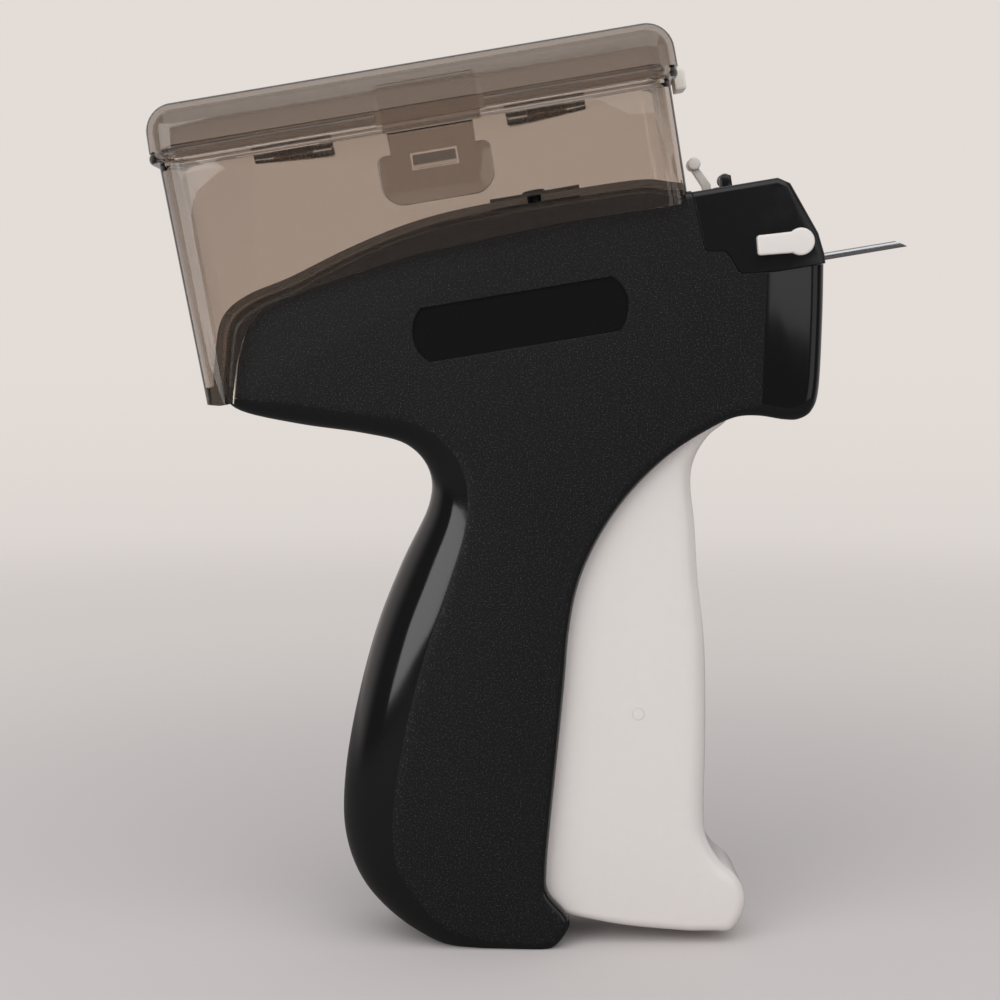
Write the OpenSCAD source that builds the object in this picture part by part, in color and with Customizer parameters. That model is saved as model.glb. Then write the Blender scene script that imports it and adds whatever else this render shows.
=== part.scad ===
// Garment tag attacher: pistol-shaped hand tool with a slotted needle and a clear storage case on its back.
// Everything is drawn with the barrel along +X and the needle's root at the origin, then stood on its butt.

/* [Body] */
// Width of the two body halves together
body_w = 27; // [25:0.5:31]
// Wall thickness of the body halves
wall = 2.2; // [1.6:0.1:2.8]
// Upward slope of the barrel when the tool stands on its butt, in degrees
barrel_tilt = 9.4; // [6:0.2:12]
// Depth of the bare label panel in each side
label_depth = 0.4; // [0.2:0.1:0.8]
// Height of the label panel
label_h = 10.6; // [8:0.2:12]
// Radius of the bosses that the housing screws hold
boss_r = 3.2; // [2.6:0.1:3.6]

/* [Needle] */
// Length of the needle outside the nose
needle_out = 15.8; // [12:0.2:24]
// Outside diameter of the needle
needle_d = 1.5; // [1.3:0.1:2]
// Wall of the needle tube
needle_wall = 0.2; // [0.15:0.05:0.3]
// Width of the slot along the needle
needle_slot = 0.5; // [0.3:0.05:0.6]
// Length of the lock lever's arm from its pivot
lock_arm = 8.3; // [6:0.2:10]

/* [Trigger] */
// Width of the trigger across its sides
trigger_w = 20; // [17:0.5:20.5]
// Wall of the trigger channel
trigger_wall = 1.9; // [1.4:0.1:2.4]
// Full pull of the trigger, in degrees
trigger_pull = 17; // [12:0.5:17]
// Diameter of the trigger's pivot pin
trigger_pin_d = 3; // [2.4:0.1:3.6]
// Diameter of the pins that the rocker works on
rocker_pin_d = 2.4; // [2:0.1:2.8]

/* [Drive] */
// Travel of the slide carriage for a full pull
stroke = 32; // [24:0.5:33]
// Thickness of the rocker plate
rocker_t = 4; // [3:0.2:4.4]
// Diameter of the push rod
rod_d = 0.9; // [0.7:0.05:1]
// Coils in the return spring
spring_turns = 20; // [12:1:24]
// Wire diameter of the return spring
spring_wire = 0.6; // [0.4:0.05:0.8]
// Teeth on the feed wheel
feed_teeth = 10; // [8:1:12]

/* [Storage case] */
// Outside length of the tray at its rim
tray_len = 98.5; // [90:0.2:100]
// Slant of the tray's rear wall, in degrees
tray_draft = 1.1; // [0:0.1:2]
// Outside width of the tray
tray_w = 32; // [31:0.5:36]
// Wall of the tray
tray_wall = 1.8; // [1.5:0.1:2.2]
// Height of the lid above the seam
lid_h = 11.1; // [8:0.1:14]
// Wall of the lid
lid_wall = 1.2; // [1:0.1:1.2]
// Height of the bead round the lid's rim
bead_h = 1.9; // [1.4:0.1:2.6]
// Width of the latch flap
latch_w = 21.6; // [16:0.2:24]
// Length of the latch flap below its bending line
latch_drop = 13; // [11:0.2:16]
// Length of each lid hinge
hinge_len = 16; // [12:0.5:20]
// Distance of the hinges from the middle of the lid
hinge_pitch = 26.4; // [20:0.2:32]

/* [Hidden] */
$fn = 64;
gap = 0.3;            // room between pieces that move past each other
fit = 0.05;           // radial room of a pin in its bore
press = 0.02;         // radial room where a pin is held fast
seat = 0.1;           // room between fixed pieces that seat on each other
cut = 0.5;            // how far a cut runs past the face that it opens
half_w = body_w / 2;
inner_w = half_w - wall;

// The butt's flat, seen in the barrel's frame: every point of it lies this far under the needle's root
butt_drop = 136.9;
// Middle of the butt's flat along X once the tool stands
butt_mid = -65;

// Body outline from the nose over the top, round the tail and down the back of the handle to the butt.
// Each station is [x, z, radius of the body's edge there].
rear_line = [
    [-2.8, 0.5, 3], [-3, 5, 3], [-4.6, 10, 3], [-9.2, 14.6, 2.5], [-18, 16.2, 2],
    [-26.6, 16.3, 2], [-30.5, 17.1, 2], [-36, 18.4, 2], [-50, 18.7, 2], [-68, 18.6, 2],
    [-80, 17.5, 2], [-92, 14.8, 2], [-104, 11.2, 2.5], [-112.5, 9.2, 3], [-117.4, 6, 3],
    [-119.8, -1, 3], [-121, -7.2, 3], [-118.6, -11.1, 3.5], [-108, -15.5, 5], [-96, -19.3, 5],
    [-88.2, -22.9, 6], [-84.8, -28.8, 8], [-86.2, -35.8, 10], [-93.4, -46.2, 12.5],
    [-100.5, -58, 13], [-107, -72.3, 13], [-112, -86.5, 13], [-114, -98, 12.5],
    [-112.2, -108, 11], [-106.6, -116.2, 9], [-98.8, -122.1, 6], [-92, -124.1, 4], [-86, -125.1, 3]];
// Body outline from the nose under the barrel and down the front of the handle to the butt
front_line = [
    [-2.9, -1.5, 3], [-4.7, -12, 3], [-7.3, -24.8, 3], [-9.3, -29, 3], [-12, -30.3, 3],
    [-15, -29.9, 2.5], [-20, -28.3, 2.5], [-24.6, -27.9, 2], [-30, -29.4, 2], [-37, -32.4, 2],
    [-44, -36.9, 2], [-50, -42.1, 2], [-55.3, -48.3, 2], [-59.6, -55.3, 2], [-62.7, -63.7, 2],
    [-65.3, -74, 2], [-69, -88, 2], [-72.6, -101.5, 2], [-74.7, -110, 2], [-75.1, -115, 2],
    [-72, -120.6, 2], [-73.6, -124.2, 2], [-77.2, -126.4, 2.5], [-83, -125.7, 2.8]];
// The side face is stitched across the barrel up to these stations, and across the handle after them
rear_split = 20;
front_split = 9;

// Trigger
pivot = [-27, -18];
bottom_r = 112.4;
function on_bottom(a) = [pivot[0] - bottom_r * sin(a), pivot[1] - bottom_r * cos(a)];
trigger_front = [
    [-27, -13.4, 1], [-23.2, -15.2, 1], [-22.5, -19, 1], [-23.2, -23.5, 2], [-25.4, -28.2, 3],
    [-29.6, -30.9, 3.5], [-32.8, -34.7, 4], [-34.4, -39.5, 4], [-34.9, -48, 4], [-35.9, -58.3, 4],
    [-36.4, -69, 4], [-37.5, -78.6, 4], [-39.4, -90.8, 4], [-41.9, -105, 4], [-42.2, -110.5, 3.5],
    [-40.4, -115.3, 3], [-37.6, -119, 2.5], [-36.5, -122.8, 2.5], [-37.5, -126.6, 2.5],
    concat(on_bottom(6.8), [2.5]), concat(on_bottom(8.4), [2])];
trigger_rear = [
    [-29, -13.8, 1], [-31.4, -16.2, 1], [-32.6, -20.5, 1], [-36, -25.8, 1], [-43, -30.6, 1],
    [-49.5, -35.8, 1], [-55.6, -42.2, 1], [-60.4, -49, 1], [-64.2, -57, 1], [-67, -66, 1],
    [-69.4, -76.5, 1], [-71.8, -85.6, 1], [-74.3, -95, 1], [-76.6, -104, 1], [-77, -111, 1],
    concat(on_bottom(25.4), [1]), concat(on_bottom(24), [1.5]), concat(on_bottom(18), [2]),
    concat(on_bottom(12), [2]), concat(on_bottom(9.6), [2])];
trigger_half = trigger_w / 2;
crosspin = [-51.9, -82.8];

// Rocker between the trigger and the slide carriage
rocker = [-66, -52];
rocker_swing = 2 * trigger_pull;
carriage_x = rocker[0] - stroke / 2;      // where the carriage's pin stands at rest
fork_reach = norm([stroke / 2, rocker[1]]) + 2.1;   // from the rocker's pivot to the ends of its fork
rocker_lean = atan2(rocker[0] - carriage_x, -rocker[1]);
rocker_boss_r = 5.5;
rocker_room = 0.5;                        // room of the trigger's pin in the rocker's slot
fork_room = 0.45;                         // room of the carriage's pin in the rocker's fork
carriage_slot = 5.6;                      // half length of the slot that the fork stands in
carriage_ends = [-7.8, 9.2];
carriage_half = [4, 5];                   // half width and half height of the carriage

// Barrel
rod_rest = -21.6;                         // the rod's tip at rest, just behind the clip's channel
track = [-21, -9.8];                      // back and front of the clip's track
track_z = [-17, 13.6];
track_half = 4;
channel = [-20, -10.6];                   // the channel that the fasteners' bars fall through
channel_w = 3;
hub = [-9, -6.3];
feed_hub = [-15.3, 6, -4];                // middle of the feed wheel
feed_r = 4.2;
clip_pivot = [-24.2, 12.4];
clip_head = [-23.6, 22];
lock = [-7.4, 3.3];
lock_pin_r = 1.6;
lock_arm_w = 3.5;
lock_t = 1.5;
top_z = 16;                               // top of the nose

// Storage case
tray_front = -27;
tray_back = tray_front - tray_len;
tray_mid = (tray_front + tray_back) / 2;
rim_z = 37.6;                             // the seam between tray and lid
lip_h = 2.9;                              // the tray's inner lip above the seam
lip_in = 0.95;                            // how far the lip stands in from the tray's face
corner_r = 4.5;
bead_out = 1.7;                           // how far the bead stands out from the tray's face
lid_out = 0.6;                            // how far the lid's side walls stand out from the tray's face
lid_over = [1.5, 1.9];                     // the same at its rear and its front
floor_t = 1.2;
latch_hinge_z = rim_z - 2.6;              // the latch's bending line
catch_z = latch_hinge_z - 6.6;            // lower edge of the latch's catch on the tray
catch_h = 2.7;
catch_half = 4.1;
latch_strip_top = rim_z + 6.4;
latch_x = -73.4;
latch_t = 1.4;
latch_round = 4.3;
neck_x = [-81.5, -65.2];                  // narrower part of the flap at its bending line
neck_h = 3.4;
shoulder = 1.6;
flap_y = tray_w / 2 + gap;                // inner face of the flap
hinge_y = tray_w / 2 + 2.4;
hinge_z = rim_z + 0.1;
knuckle_r = 1.7;
hinge_pin_r = 0.8;
// Top of the body under the tray, from front to back, and the lower edge of the tray's side walls
saddle_line = [for (i = [6:16]) [rear_line[i][0], rear_line[i][1]]];
skirt_line = [[-30, 13.9], [-50, 14.2], [-68, 13.4], [-80, 12.8], [-92, 11.2], [-104, 9.1],
              [-109.5, 8], [-113.2, 5], [-115.4, 1.6], [-117, -2.2], [-119.2, -9.4]];

module stand() {
    translate([-butt_mid, 0, butt_drop]) rotate([0, -barrel_tilt, 0]) children();
}

// A flat shape drawn in x and z, given thickness from y0 to y1
module across(y0, y1) {
    translate([0, y1, 0]) rotate([90, 0, 0]) linear_extrude(y1 - y0) children();
}

// A pin or bore along Y at p = [x, z]
module pin_y(p, r, y0, y1) {
    translate([p[0], y1, p[1]]) rotate([90, 0, 0]) cylinder(r = r, h = y1 - y0);
}

// A pin or bore along X
module pin_x(y, z, r, x0, x1) {
    translate([x0, y, z]) rotate([0, 90, 0]) cylinder(r = r, h = x1 - x0);
}

// ---- smooth outlines and lofts ----
samples = 3;
function curve(p0, p1, p2, p3, t) =
    0.5 * (2 * p1 + (p2 - p0) * t + (2 * p0 - 5 * p1 + 4 * p2 - p3) * t * t
           + (3 * p1 - p0 - 3 * p2 + p3) * t * t * t);
function smooth(p) = let (n = len(p) - 1) concat(
    [for (i = [0:n - 1], k = [0:samples - 1])
        curve(p[max(i - 1, 0)], p[i], p[i + 1], p[min(i + 2, n)], k / samples)], [p[n]]);
function loop(a, b) = let (sb = smooth(b), n = len(sb)) concat(smooth(a), [for (i = [n - 1:-1:0]) sb[i]]);
// Inward directions of a loop, taken over a few samples so that they turn gently at corners
reach = 2;
function inward(o) = let (n = len(o)) [for (i = [0:n - 1])
    let (d = o[(i + reach) % n] - o[(i + n - reach) % n], l = norm([d[0], d[1]])) [-d[1] / l, d[0] / l]];
// One ring of a rounded edge: face at y = -h, edge turned by angle f, whole shape drawn in by w
function ring(o, dir, h, w, f) = [for (i = [0:len(o) - 1])
    let (r = max(o[i][2] - w, 0.5), s = w + r * (1 - cos(f)))
        [o[i][0] + dir[i][0] * s, -(h - w - r + r * sin(f)), o[i][1] + dir[i][1] * s]];
function flat_ring(o, dir, w) = [for (i = [0:len(o) - 1])
    [o[i][0] + dir[i][0] * w, 0, o[i][1] + dir[i][1] * w]];
function mirrored(ring) = [for (p = ring) [p[0], -p[1], p[2]]];
function strip(a, b, n) = [for (i = [0:n - 1]) let (k = (i + 1) % n)
    each [[a * n + i, b * n + i, b * n + k], [a * n + i, b * n + k, a * n + k]]];
// Triangles between samples i0..i1 of the first line and j0..j1 of the second, across the face
function zip(i0, i1, j0, j1, base, n) = let (na = i1 - i0, nb = j1 - j0, m = na + nb) [
    for (k = [0:m - 1]) let (i = floor(k * na / m), j = k - i, ni = floor((k + 1) * na / m))
        ni > i ? [base + i0 + i, base + i0 + ni, base + n - 1 - j0 - j]
               : [base + n - 2 - j0 - j, base + n - 1 - j0 - j, base + i0 + i]];
function face(na, nb, sa, sb, base, n) =
    concat(zip(0, sa, 0, sb, base, n), zip(sa, na, sb, nb, base, n));
function flipped(tris) = [for (t = tris) [t[2], t[1], t[0]]];
// A closed body from a list of rings, its two faces stitched from the two lines of the outline
module loft(rings, na, nb, sa, sb) {
    n = len(rings[0]);
    m = len(rings);
    polyhedron(
        points = [for (r = rings) each r],
        faces = concat([for (j = [0:m - 2]) each strip(j, j + 1, n)],
                       face(na, nb, sa, sb, 0, n), flipped(face(na, nb, sa, sb, (m - 1) * n, n))));
}

body_loop = loop(rear_line, front_line);
body_in = inward(body_loop);
rear_n = samples * (len(rear_line) - 1);
front_n = samples * (len(front_line) - 1);

module half_shell() {
    rings = concat(
        [for (f = [90, 45, 0]) ring(body_loop, body_in, half_w, wall, f)],
        [flat_ring(body_loop, body_in, wall), flat_ring(body_loop, body_in, 0)],
        [for (f = [0, 22.5, 45, 67.5, 90]) ring(body_loop, body_in, half_w, 0, f)]);
    loft(rings, rear_n, front_n, samples * rear_split, samples * front_split);
}

// ---- body halves ----
bosses = [[-104, -2], [-38, 11.4], [-93.5, -60], [-97.5, -114.4]];
seam = [[-26.5, 30], [-26.2, 14.7], [-25.5, 4.9], [-24.8, 4.3], [-21.6, 3.8], [-20.9, 2.6], [-19.8, -0.2],
        [-19.2, -0.9], [-13, -1.5], [5, -1.6], [5, 30]];
slot_line = [for (i = [7:19]) [front_line[i][0] - wall - 1.6, front_line[i][1] + (i < 12 ? 3 : 0)]];
slot_half = trigger_half + 0.5;
screw_r = 1.4;
clamp_at = [-55.8, 6.5];
clamp_screw_r = 1.2;
clamp_head = [2.2, 0.7];
clamp_len = [-64.4, -47.2];
plate_t = 0.8;
floor_z = rear_line[8][1] + seat + floor_t;
rail_x = [carriage_x + carriage_ends[0] - 0.7, carriage_x + stroke + carriage_ends[1] + 0.8];
rail_in = carriage_half[0] + 0.15;
rail_z = carriage_half[1] + 0.15;

module trigger_slot() {
    intersection() {
        across(-slot_half, cut)
            polygon(concat(slot_line, [[-60, -140], [0, -140], [-14, -60], [-21.2, -36], [-22, -24.5]]));
        pin_y(pivot, bottom_r + 0.7, -half_w, cut);
    }
}

module label_panel() {
    translate([-62.3, -half_w - cut, -2.6]) rotate([-90, 0, 0]) linear_extrude(label_depth + cut)
        intersection() {
            square([42, label_h], center = true);
            union() {
                square([36, label_h], center = true);
                for (s = [-1, 1]) translate([s * 14.1, 0]) circle(r = 6.9);
            }
        }
}

module slide_rail() {
    len = rail_x[1] - rail_x[0];
    flange = 1.4;
    translate([rail_x[0], -rail_in - flange, -rail_z - flange]) cube([len, flange, 2 * (rail_z + flange)]);
    for (z = [-rail_z - flange, rail_z])
        translate([rail_x[0], -rail_in - flange, z]) cube([len, rail_in + flange - 2.6, flange]);
    for (x = [rail_x[0] + 1, -66, rail_x[1] - 3])
        translate([x, -inner_w - seat, -rail_z - flange])
            cube([2, inner_w + seat - rail_in - flange + 0.2, 2 * (rail_z + flange)]);
}

// A cheek that carries the rocker's pin inside the trigger's channel, hung from above the trigger's sweep
module rocker_cheek() {
    y0 = rocker_t / 2 + 0.4;
    difference() {
        union() {
            across(-y0 - 3, -y0)
                polygon([[-74, -26], [-62.5, -26], [-61, -34], [-61.5, -52], [-70.5, -52], [-72, -36]]);
            pin_y(rocker, 4.5, -y0 - 3, -y0);
            translate([-74, -inner_w - seat, -31]) cube([11.5, inner_w + seat - y0 - 2.8, 5]);
        }
        pin_y(rocker, rocker_pin_d / 2 + fit, -y0 - 3 - cut, 0);
    }
}

module half_body(far) {
    bore = far ? screw_r + 0.1 : screw_r - 0.1 + fit;
    difference() {
        union() {
            half_shell();
            for (b = bosses) pin_y(b, boss_r, -inner_w - seat, -0.02);
            slide_rail();
            rocker_cheek();
            pin_y(pivot, 4, -inner_w - seat, -trigger_half - 0.25);
            // ledges that hold the clip's track and the needle's hub
            for (z = [[-16, -12], [2.2, 4.6]])
                translate([track[0] + 1, -inner_w - seat, z[0]]) cube([8, inner_w + seat - 4.1, z[1] - z[0]]);
            translate([hub[0], -inner_w - seat, -7]) cube([3.6, inner_w + seat - 0.02, 2.4]);
            // boss for the screw that clamps the tray
            translate([clamp_at[0], -clamp_at[1], 8.5]) cylinder(r = 2.7, h = rear_line[8][1] - 8.5 - 0.8);
            if (far) for (x = [-20.6, -11.7])
                translate([x, -inner_w - seat, -8]) cube([1.5, inner_w + seat - 4.15, 8]);
        }
        across(-half_w - cut, cut) polygon(seam);
        trigger_slot();
        label_panel();
        for (b = bosses) pin_y(b, bore, far ? -half_w - cut : -inner_w + 0.6, cut);
        if (far) for (b = bosses) pin_y(b, 2.8, -half_w - cut, -half_w + 2.6);
        pin_y(pivot, trigger_pin_d / 2 + press, -half_w + 0.9, 0);
        translate([clamp_at[0], -clamp_at[1], 9.5]) cylinder(r = clamp_screw_r + fit, h = 12);
        // opening under the nose for the spent clip
        translate([channel[0], -channel_w / 2 - 0.6, -34]) cube([channel[1] - channel[0], channel_w, 16]);
        // the butt's flat
        rotate([0, barrel_tilt, 0]) translate([-120, -half_w - cut, -butt_drop - 6])
            cube([90, half_w + 2 * cut, 6]);
        if (far) pin_x(-feed_hub[1], feed_hub[2], 1 + fit, -22, -9);
    }
}

module housing_right() color("#1d1d1e") stand() half_body(false);

module housing_left() color("#1d1d1e") stand() mirror([0, 1, 0]) half_body(true);

module housing_screws() color("#8f9193") stand() for (b = bosses) difference() {
    union() {
        pin_y(b, screw_r - 0.1, -inner_w + 1.2, half_w - 2.4);
        pin_y(b, 2.5, half_w - 2.5, half_w - 0.7);
    }
    for (a = [0, 90]) translate([b[0], half_w, b[1]]) rotate([0, a + 20, 0])
        cube([3.4, 3.4, 0.6], center = true);
}

// ---- nose ----
cover_r = 3;
module nose_block(inset) {
    intersection() {
        across(-half_w, half_w) polygon([
            [-26.3, -6], [-26.3, top_z - inset], [-9.6 - inset * 0.4, top_z - inset],
            [-7.4 - inset, 14.6 - inset * 0.4], [-3.5 - inset, 4.4], [-2.9 - inset, 0], [-3.2 - inset, -6]]);
        linear_extrude(60, center = true) round_rect([-60, -2.85 - inset], half_w - inset, cover_r);
        rotate([90, 0, 90]) linear_extrude(200, center = true)
            difference() {
                translate([-half_w + inset, -8]) square([2 * (half_w - inset), top_z - inset + 8]);
                for (s = [-1, 1]) translate([s * (half_w - inset - 2), top_z - inset - 2]) difference() {
                    translate([s > 0 ? 0 : -3, 0]) square(3);
                    circle(r = 2);
                }
            }
    }
}

// A rectangle from x[0] to x[1] and half width w, with round corners
module round_rect(x, w, r) {
    translate([x[0], -w + r]) square([x[1] - x[0], 2 * (w - r)]);
    translate([x[0] + r, -w]) square([x[1] - x[0] - 2 * r, 2 * w]);
    for (px = [x[0] + r, x[1] - r], s = [-1, 1]) translate([px, s * (w - r)]) circle(r = r);
}

spring_post = [-18.7, 17.6];
spring_post_r = 0.7;
module nose_cover() color("#161617") stand() {
    difference() {
        union() {
            difference() {
                intersection() {
                    nose_block(0);
                    across(-half_w, half_w) polygon([for (p = seam) [p[0] + seat, p[1] + seat]]);
                }
                intersection() {
                    nose_block(wall);
                    across(-inner_w, inner_w) polygon([[-30, -8], [-30, 14], [0, 14], [0, -8]]);
                }
            }
            // jaws beside the needle's hub, and ears for the clip lever's pin
            for (s = [-1, 1]) scale([1, s, 1]) {
                translate([-9.4, 4.2, 0.4]) cube([3.8, inner_w - 4.1, 5.6]);
                translate([-25.9, 1.3, 10.4]) cube([3.4, 1.9, 3.6]);
            }
            translate([spring_post[0] - 1.1, -7.4, top_z - 0.2]) cube([2.2, 0.8, 2.6]);
            pin_y(spring_post, spring_post_r, -7, -2.4);
        }
        pin_y(lock, lock_pin_r + fit, -half_w - cut, 0);
        pin_y(clip_pivot, 0.8 + fit, -5, 5);
        translate([-25.2, -1.8, 13]) cube([15, 3.6, 4]);
        pin_x(0, 0, needle_d / 2 + 0.3, -6, 0);
    }
}

// ---- needle ----
module needle() color("#b9bcc0") stand() difference() {
    pin_x(0, 0, needle_d / 2, hub[0] + 0.4, needle_out);
    pin_x(0, 0, needle_d / 2 - needle_wall, hub[0], needle_out + 1);
    translate([hub[1], -needle_d, -needle_slot / 2]) cube([needle_out + 8, needle_d, needle_slot]);
    translate([needle_out, 0, needle_d / 2]) rotate([0, -28, 0]) translate([-1, -2, -8]) cube([9, 4, 8]);
}

module needle_hub() color("#6d7074") stand() difference() {
    translate([hub[0], -4, -4.5]) cube([hub[1] - hub[0], 8, 9]);
    pin_x(0, 0, needle_d / 2 + press, hub[0] - 1, hub[1] + 1);
    pin_y(lock, lock_pin_r + fit, -5, -2.4);
}

module needle_lock_lever() color("#e4e3e0") stand() {
    y = [-half_w - 0.2 - lock_t, -half_w - 0.2];
    pin_y(lock, lock_pin_r, y[1], -4.3);
    pin_y(lock, 2.6, y[0], y[1]);
    translate([lock[0], 0, lock[1]]) rotate([0, 4, 0]) across(y[0], y[1]) {
        translate([-lock_arm + lock_arm_w / 2, -lock_arm_w / 2])
            square([lock_arm - lock_arm_w / 2, lock_arm_w]);
        translate([-lock_arm + lock_arm_w / 2, 0]) circle(r = lock_arm_w / 2);
    }
}

module knife_blade() color("#c3c6c9") stand() difference() {
    translate([track[1] + 0.15, -3.8, -5]) cube([0.5, 7.6, 9.5]);
    pin_x(0, 0, needle_d / 2, -12, -8);
}

// ---- trigger and rocker ----
trigger_loop = loop(trigger_rear, trigger_front);
trigger_in = inward(trigger_loop);
trigger_nf = samples * (len(trigger_front) - 1);
trigger_nr = samples * (len(trigger_rear) - 1);
open_from = samples * 4;
open_to = samples * 14;

module trigger() color("#e9e5df") stand() difference() {
    rings = [for (f = [0, 30, 60, 90]) ring(trigger_loop, trigger_in, trigger_half, 0, f)];
    loft(concat([for (i = [3:-1:0]) mirrored(rings[i])], rings),
         trigger_nr, trigger_nf, samples * 9, samples * 10);
    across(-trigger_half + trigger_wall, trigger_half - trigger_wall) polygon([
        for (i = [0:len(trigger_loop) - 1]) let (w = i > open_from && i < open_to ? -5 : trigger_wall)
            [trigger_loop[i][0] + trigger_in[i][0] * w, trigger_loop[i][1] + trigger_in[i][1] * w]]);
    pin_y(pivot, trigger_pin_d / 2 + fit, -trigger_half - cut, trigger_half + cut);
    pin_y(crosspin, rocker_pin_d / 2 + press, -trigger_half - cut, trigger_half + cut);
}

module trigger_pin() color("#9b9da0") stand() pin_y(pivot, trigger_pin_d / 2, -half_w + 1, half_w - 1);

module trigger_crosspin() color("#b4b6b9") stand()
    pin_y(crosspin, rocker_pin_d / 2, -trigger_half + 0.15, trigger_half - 0.15);

function turn(p, a) = [p[0] * cos(a) + p[1] * sin(a), -p[0] * sin(a) + p[1] * cos(a)];
// Where the trigger's pin stands in the rocker's own frame, at a share t of the pull
function slot_at(t) = turn(pivot + turn(crosspin - pivot, t * trigger_pull) - rocker, -t * rocker_swing);
slot_steps = 6;
function slot_way(t) = let (d = slot_at(t + 0.01) - slot_at(t - 0.01)) atan2(d[1], d[0]);
function at_angle(p, r, a) = p + r * [cos(a), sin(a)];
// Outline of a slot of half width r along the pin's path
module slot_path(r) {
    polygon(concat(
        [for (k = [0:slot_steps]) let (t = k / slot_steps) at_angle(slot_at(t), r, slot_way(t) - 90)],
        [for (a = [-75:15:75]) at_angle(slot_at(1), r, slot_way(1) + a)],
        [for (k = [slot_steps:-1:0]) let (t = k / slot_steps) at_angle(slot_at(t), r, slot_way(t) + 90)],
        [for (a = [105:15:255]) at_angle(slot_at(0), r, slot_way(0) + a)]));
}

module plate() across(-rocker_t / 2, rocker_t / 2) children();

module drive_lever() color("#d9d6cf") stand() translate([rocker[0], 0, rocker[1]]) difference() {
    union() {
        plate() circle(r = rocker_boss_r);
        plate() rotate(rocker_lean) polygon([[-5, -2], [-3.4, fork_reach], [3.4, fork_reach], [5, -2]]);
        plate() polygon([[-4.2, 2.2], slot_at(1) - [3.2, 2.1], slot_at(1) + [3.2, 2.1], [4.4, -1.4]]);
        plate() slot_path(rocker_pin_d / 2 + rocker_room + 2.4);
    }
    across(-rocker_t, rocker_t) {
        circle(r = rocker_pin_d / 2 + fit);
        slot_path(rocker_pin_d / 2 + rocker_room);
        rotate(rocker_lean) translate([-rocker_pin_d / 2 - fork_room, -rocker[1] - 4])
            square([rocker_pin_d + 2 * fork_room, 20]);
    }
}

module drive_lever_pin() color("#9b9da0") stand() pin_y(rocker, rocker_pin_d / 2, -5.3, 5.3);

// ---- carriage, rod and spring ----
module slide_carriage() color("#d9d6cf") stand() translate([carriage_x, 0, 0]) difference() {
    translate([carriage_ends[0], -carriage_half[0], -carriage_half[1]])
        cube([carriage_ends[1] - carriage_ends[0], 2 * carriage_half[0], 2 * carriage_half[1]]);
    translate([-carriage_slot, -rocker_t / 2 - gap, -carriage_half[1] - cut])
        cube([2 * carriage_slot, rocker_t + 2 * gap, 2 * (carriage_half[1] + cut)]);
    pin_y([0, 0], rocker_pin_d / 2 + press, -carriage_half[0] - cut, carriage_half[0] + cut);
    pin_x(0, 0, rod_d / 2 + press, 0, carriage_ends[1] + cut);
}

module carriage_pin() color("#b4b6b9") stand()
    pin_y([carriage_x, 0], rocker_pin_d / 2, seat - carriage_half[0], carriage_half[0] - seat);

module push_rod() color("#c3c6c9") stand() pin_x(0, 0, rod_d / 2, carriage_x + carriage_slot + 0.2, rod_rest);

// A wire of radius r through centres c, each with two directions across it
sides = 6;
module wire(path, r) {
    m = len(path);
    polyhedron(
        points = [for (p = path, s = [0:sides - 1]) p[0] + r * (cos(s * 60) * p[1] + sin(s * 60) * p[2])],
        faces = concat([[for (s = [0:sides - 1]) s]], [[for (s = [0:sides - 1]) m * sides - 1 - s]],
            [for (j = [0:m - 2], s = [0:sides - 1]) let (k = (s + 1) % sides)
                each [[j * sides + s, (j + 1) * sides + k, j * sides + k],
                      [j * sides + s, (j + 1) * sides + s, (j + 1) * sides + k]]]));
}

curl_rings = 8;
spring_r = 2;
spring_x = [track[0] - gap, carriage_x + carriage_ends[1] + gap];
spring_pitch = (spring_x[0] - spring_x[1] - spring_wire) / spring_turns;
echo(least_gap_of_return_spring = spring_pitch - spring_wire);
module return_spring() color("#8d9094") stand() wire(
    [for (k = [0:curl_rings * spring_turns]) let (a = k * 360 / curl_rings)
        [[spring_x[1] + spring_wire / 2 + spring_pitch * k / curl_rings, spring_r * cos(a), spring_r * sin(a)],
         [1, 0, 0], [0, cos(a), sin(a)]]], spring_wire / 2);

// ---- clip feed ----
module feed_track() color("#4a4b4d") stand() difference() {
    translate([track[0], -track_half, track_z[0]])
        cube([track[1] - track[0], 2 * track_half, track_z[1] - track_z[0]]);
    translate([channel[0], -channel_w / 2, track_z[0] - 1])
        cube([channel[1] - channel[0], channel_w, track_z[1] - track_z[0] + 2]);
    pin_x(0, 0, rod_d / 2 + 0.25, track[0] - 1, track[1] + 1);
    pin_x(feed_hub[1], feed_hub[2], feed_r + 0.6, -18, -12.6);
    translate([track[0] - 1, -1.4, 3.4]) cube([3, 2.8, 3.8]);
    // room for the ears of the clip lever's pin and for the jaws of the cover
    translate([track[0] - 1, -5, 9.6]) cube([1.6, 10, 5]);
}

module feed_wheel() color("#e4e1da") stand() difference() {
    translate([feed_hub[0] - 2, feed_hub[1], feed_hub[2]]) rotate([0, 90, 0]) linear_extrude(4) {
        circle(r = feed_r - 1.1);
        for (i = [0:feed_teeth - 1]) rotate(i * 360 / feed_teeth)
            polygon([[feed_r - 1.4, -1.1], [feed_r, -0.25], [feed_r, 0.25], [feed_r - 1.4, 0.5]]);
    }
    pin_x(feed_hub[1], feed_hub[2], 1 + fit, -20, -10);
}

module feed_wheel_axle() color("#9b9da0") stand() pin_x(feed_hub[1], feed_hub[2], 1, -20.7, -10.1);

module feed_pawl() color("#b4b6b9") stand()
    translate([feed_hub[0] - 1.6, 4.5, feed_hub[2] - feed_r - gap - 0.4]) cube([3.2, inner_w - 4.6, 0.4]);

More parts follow.
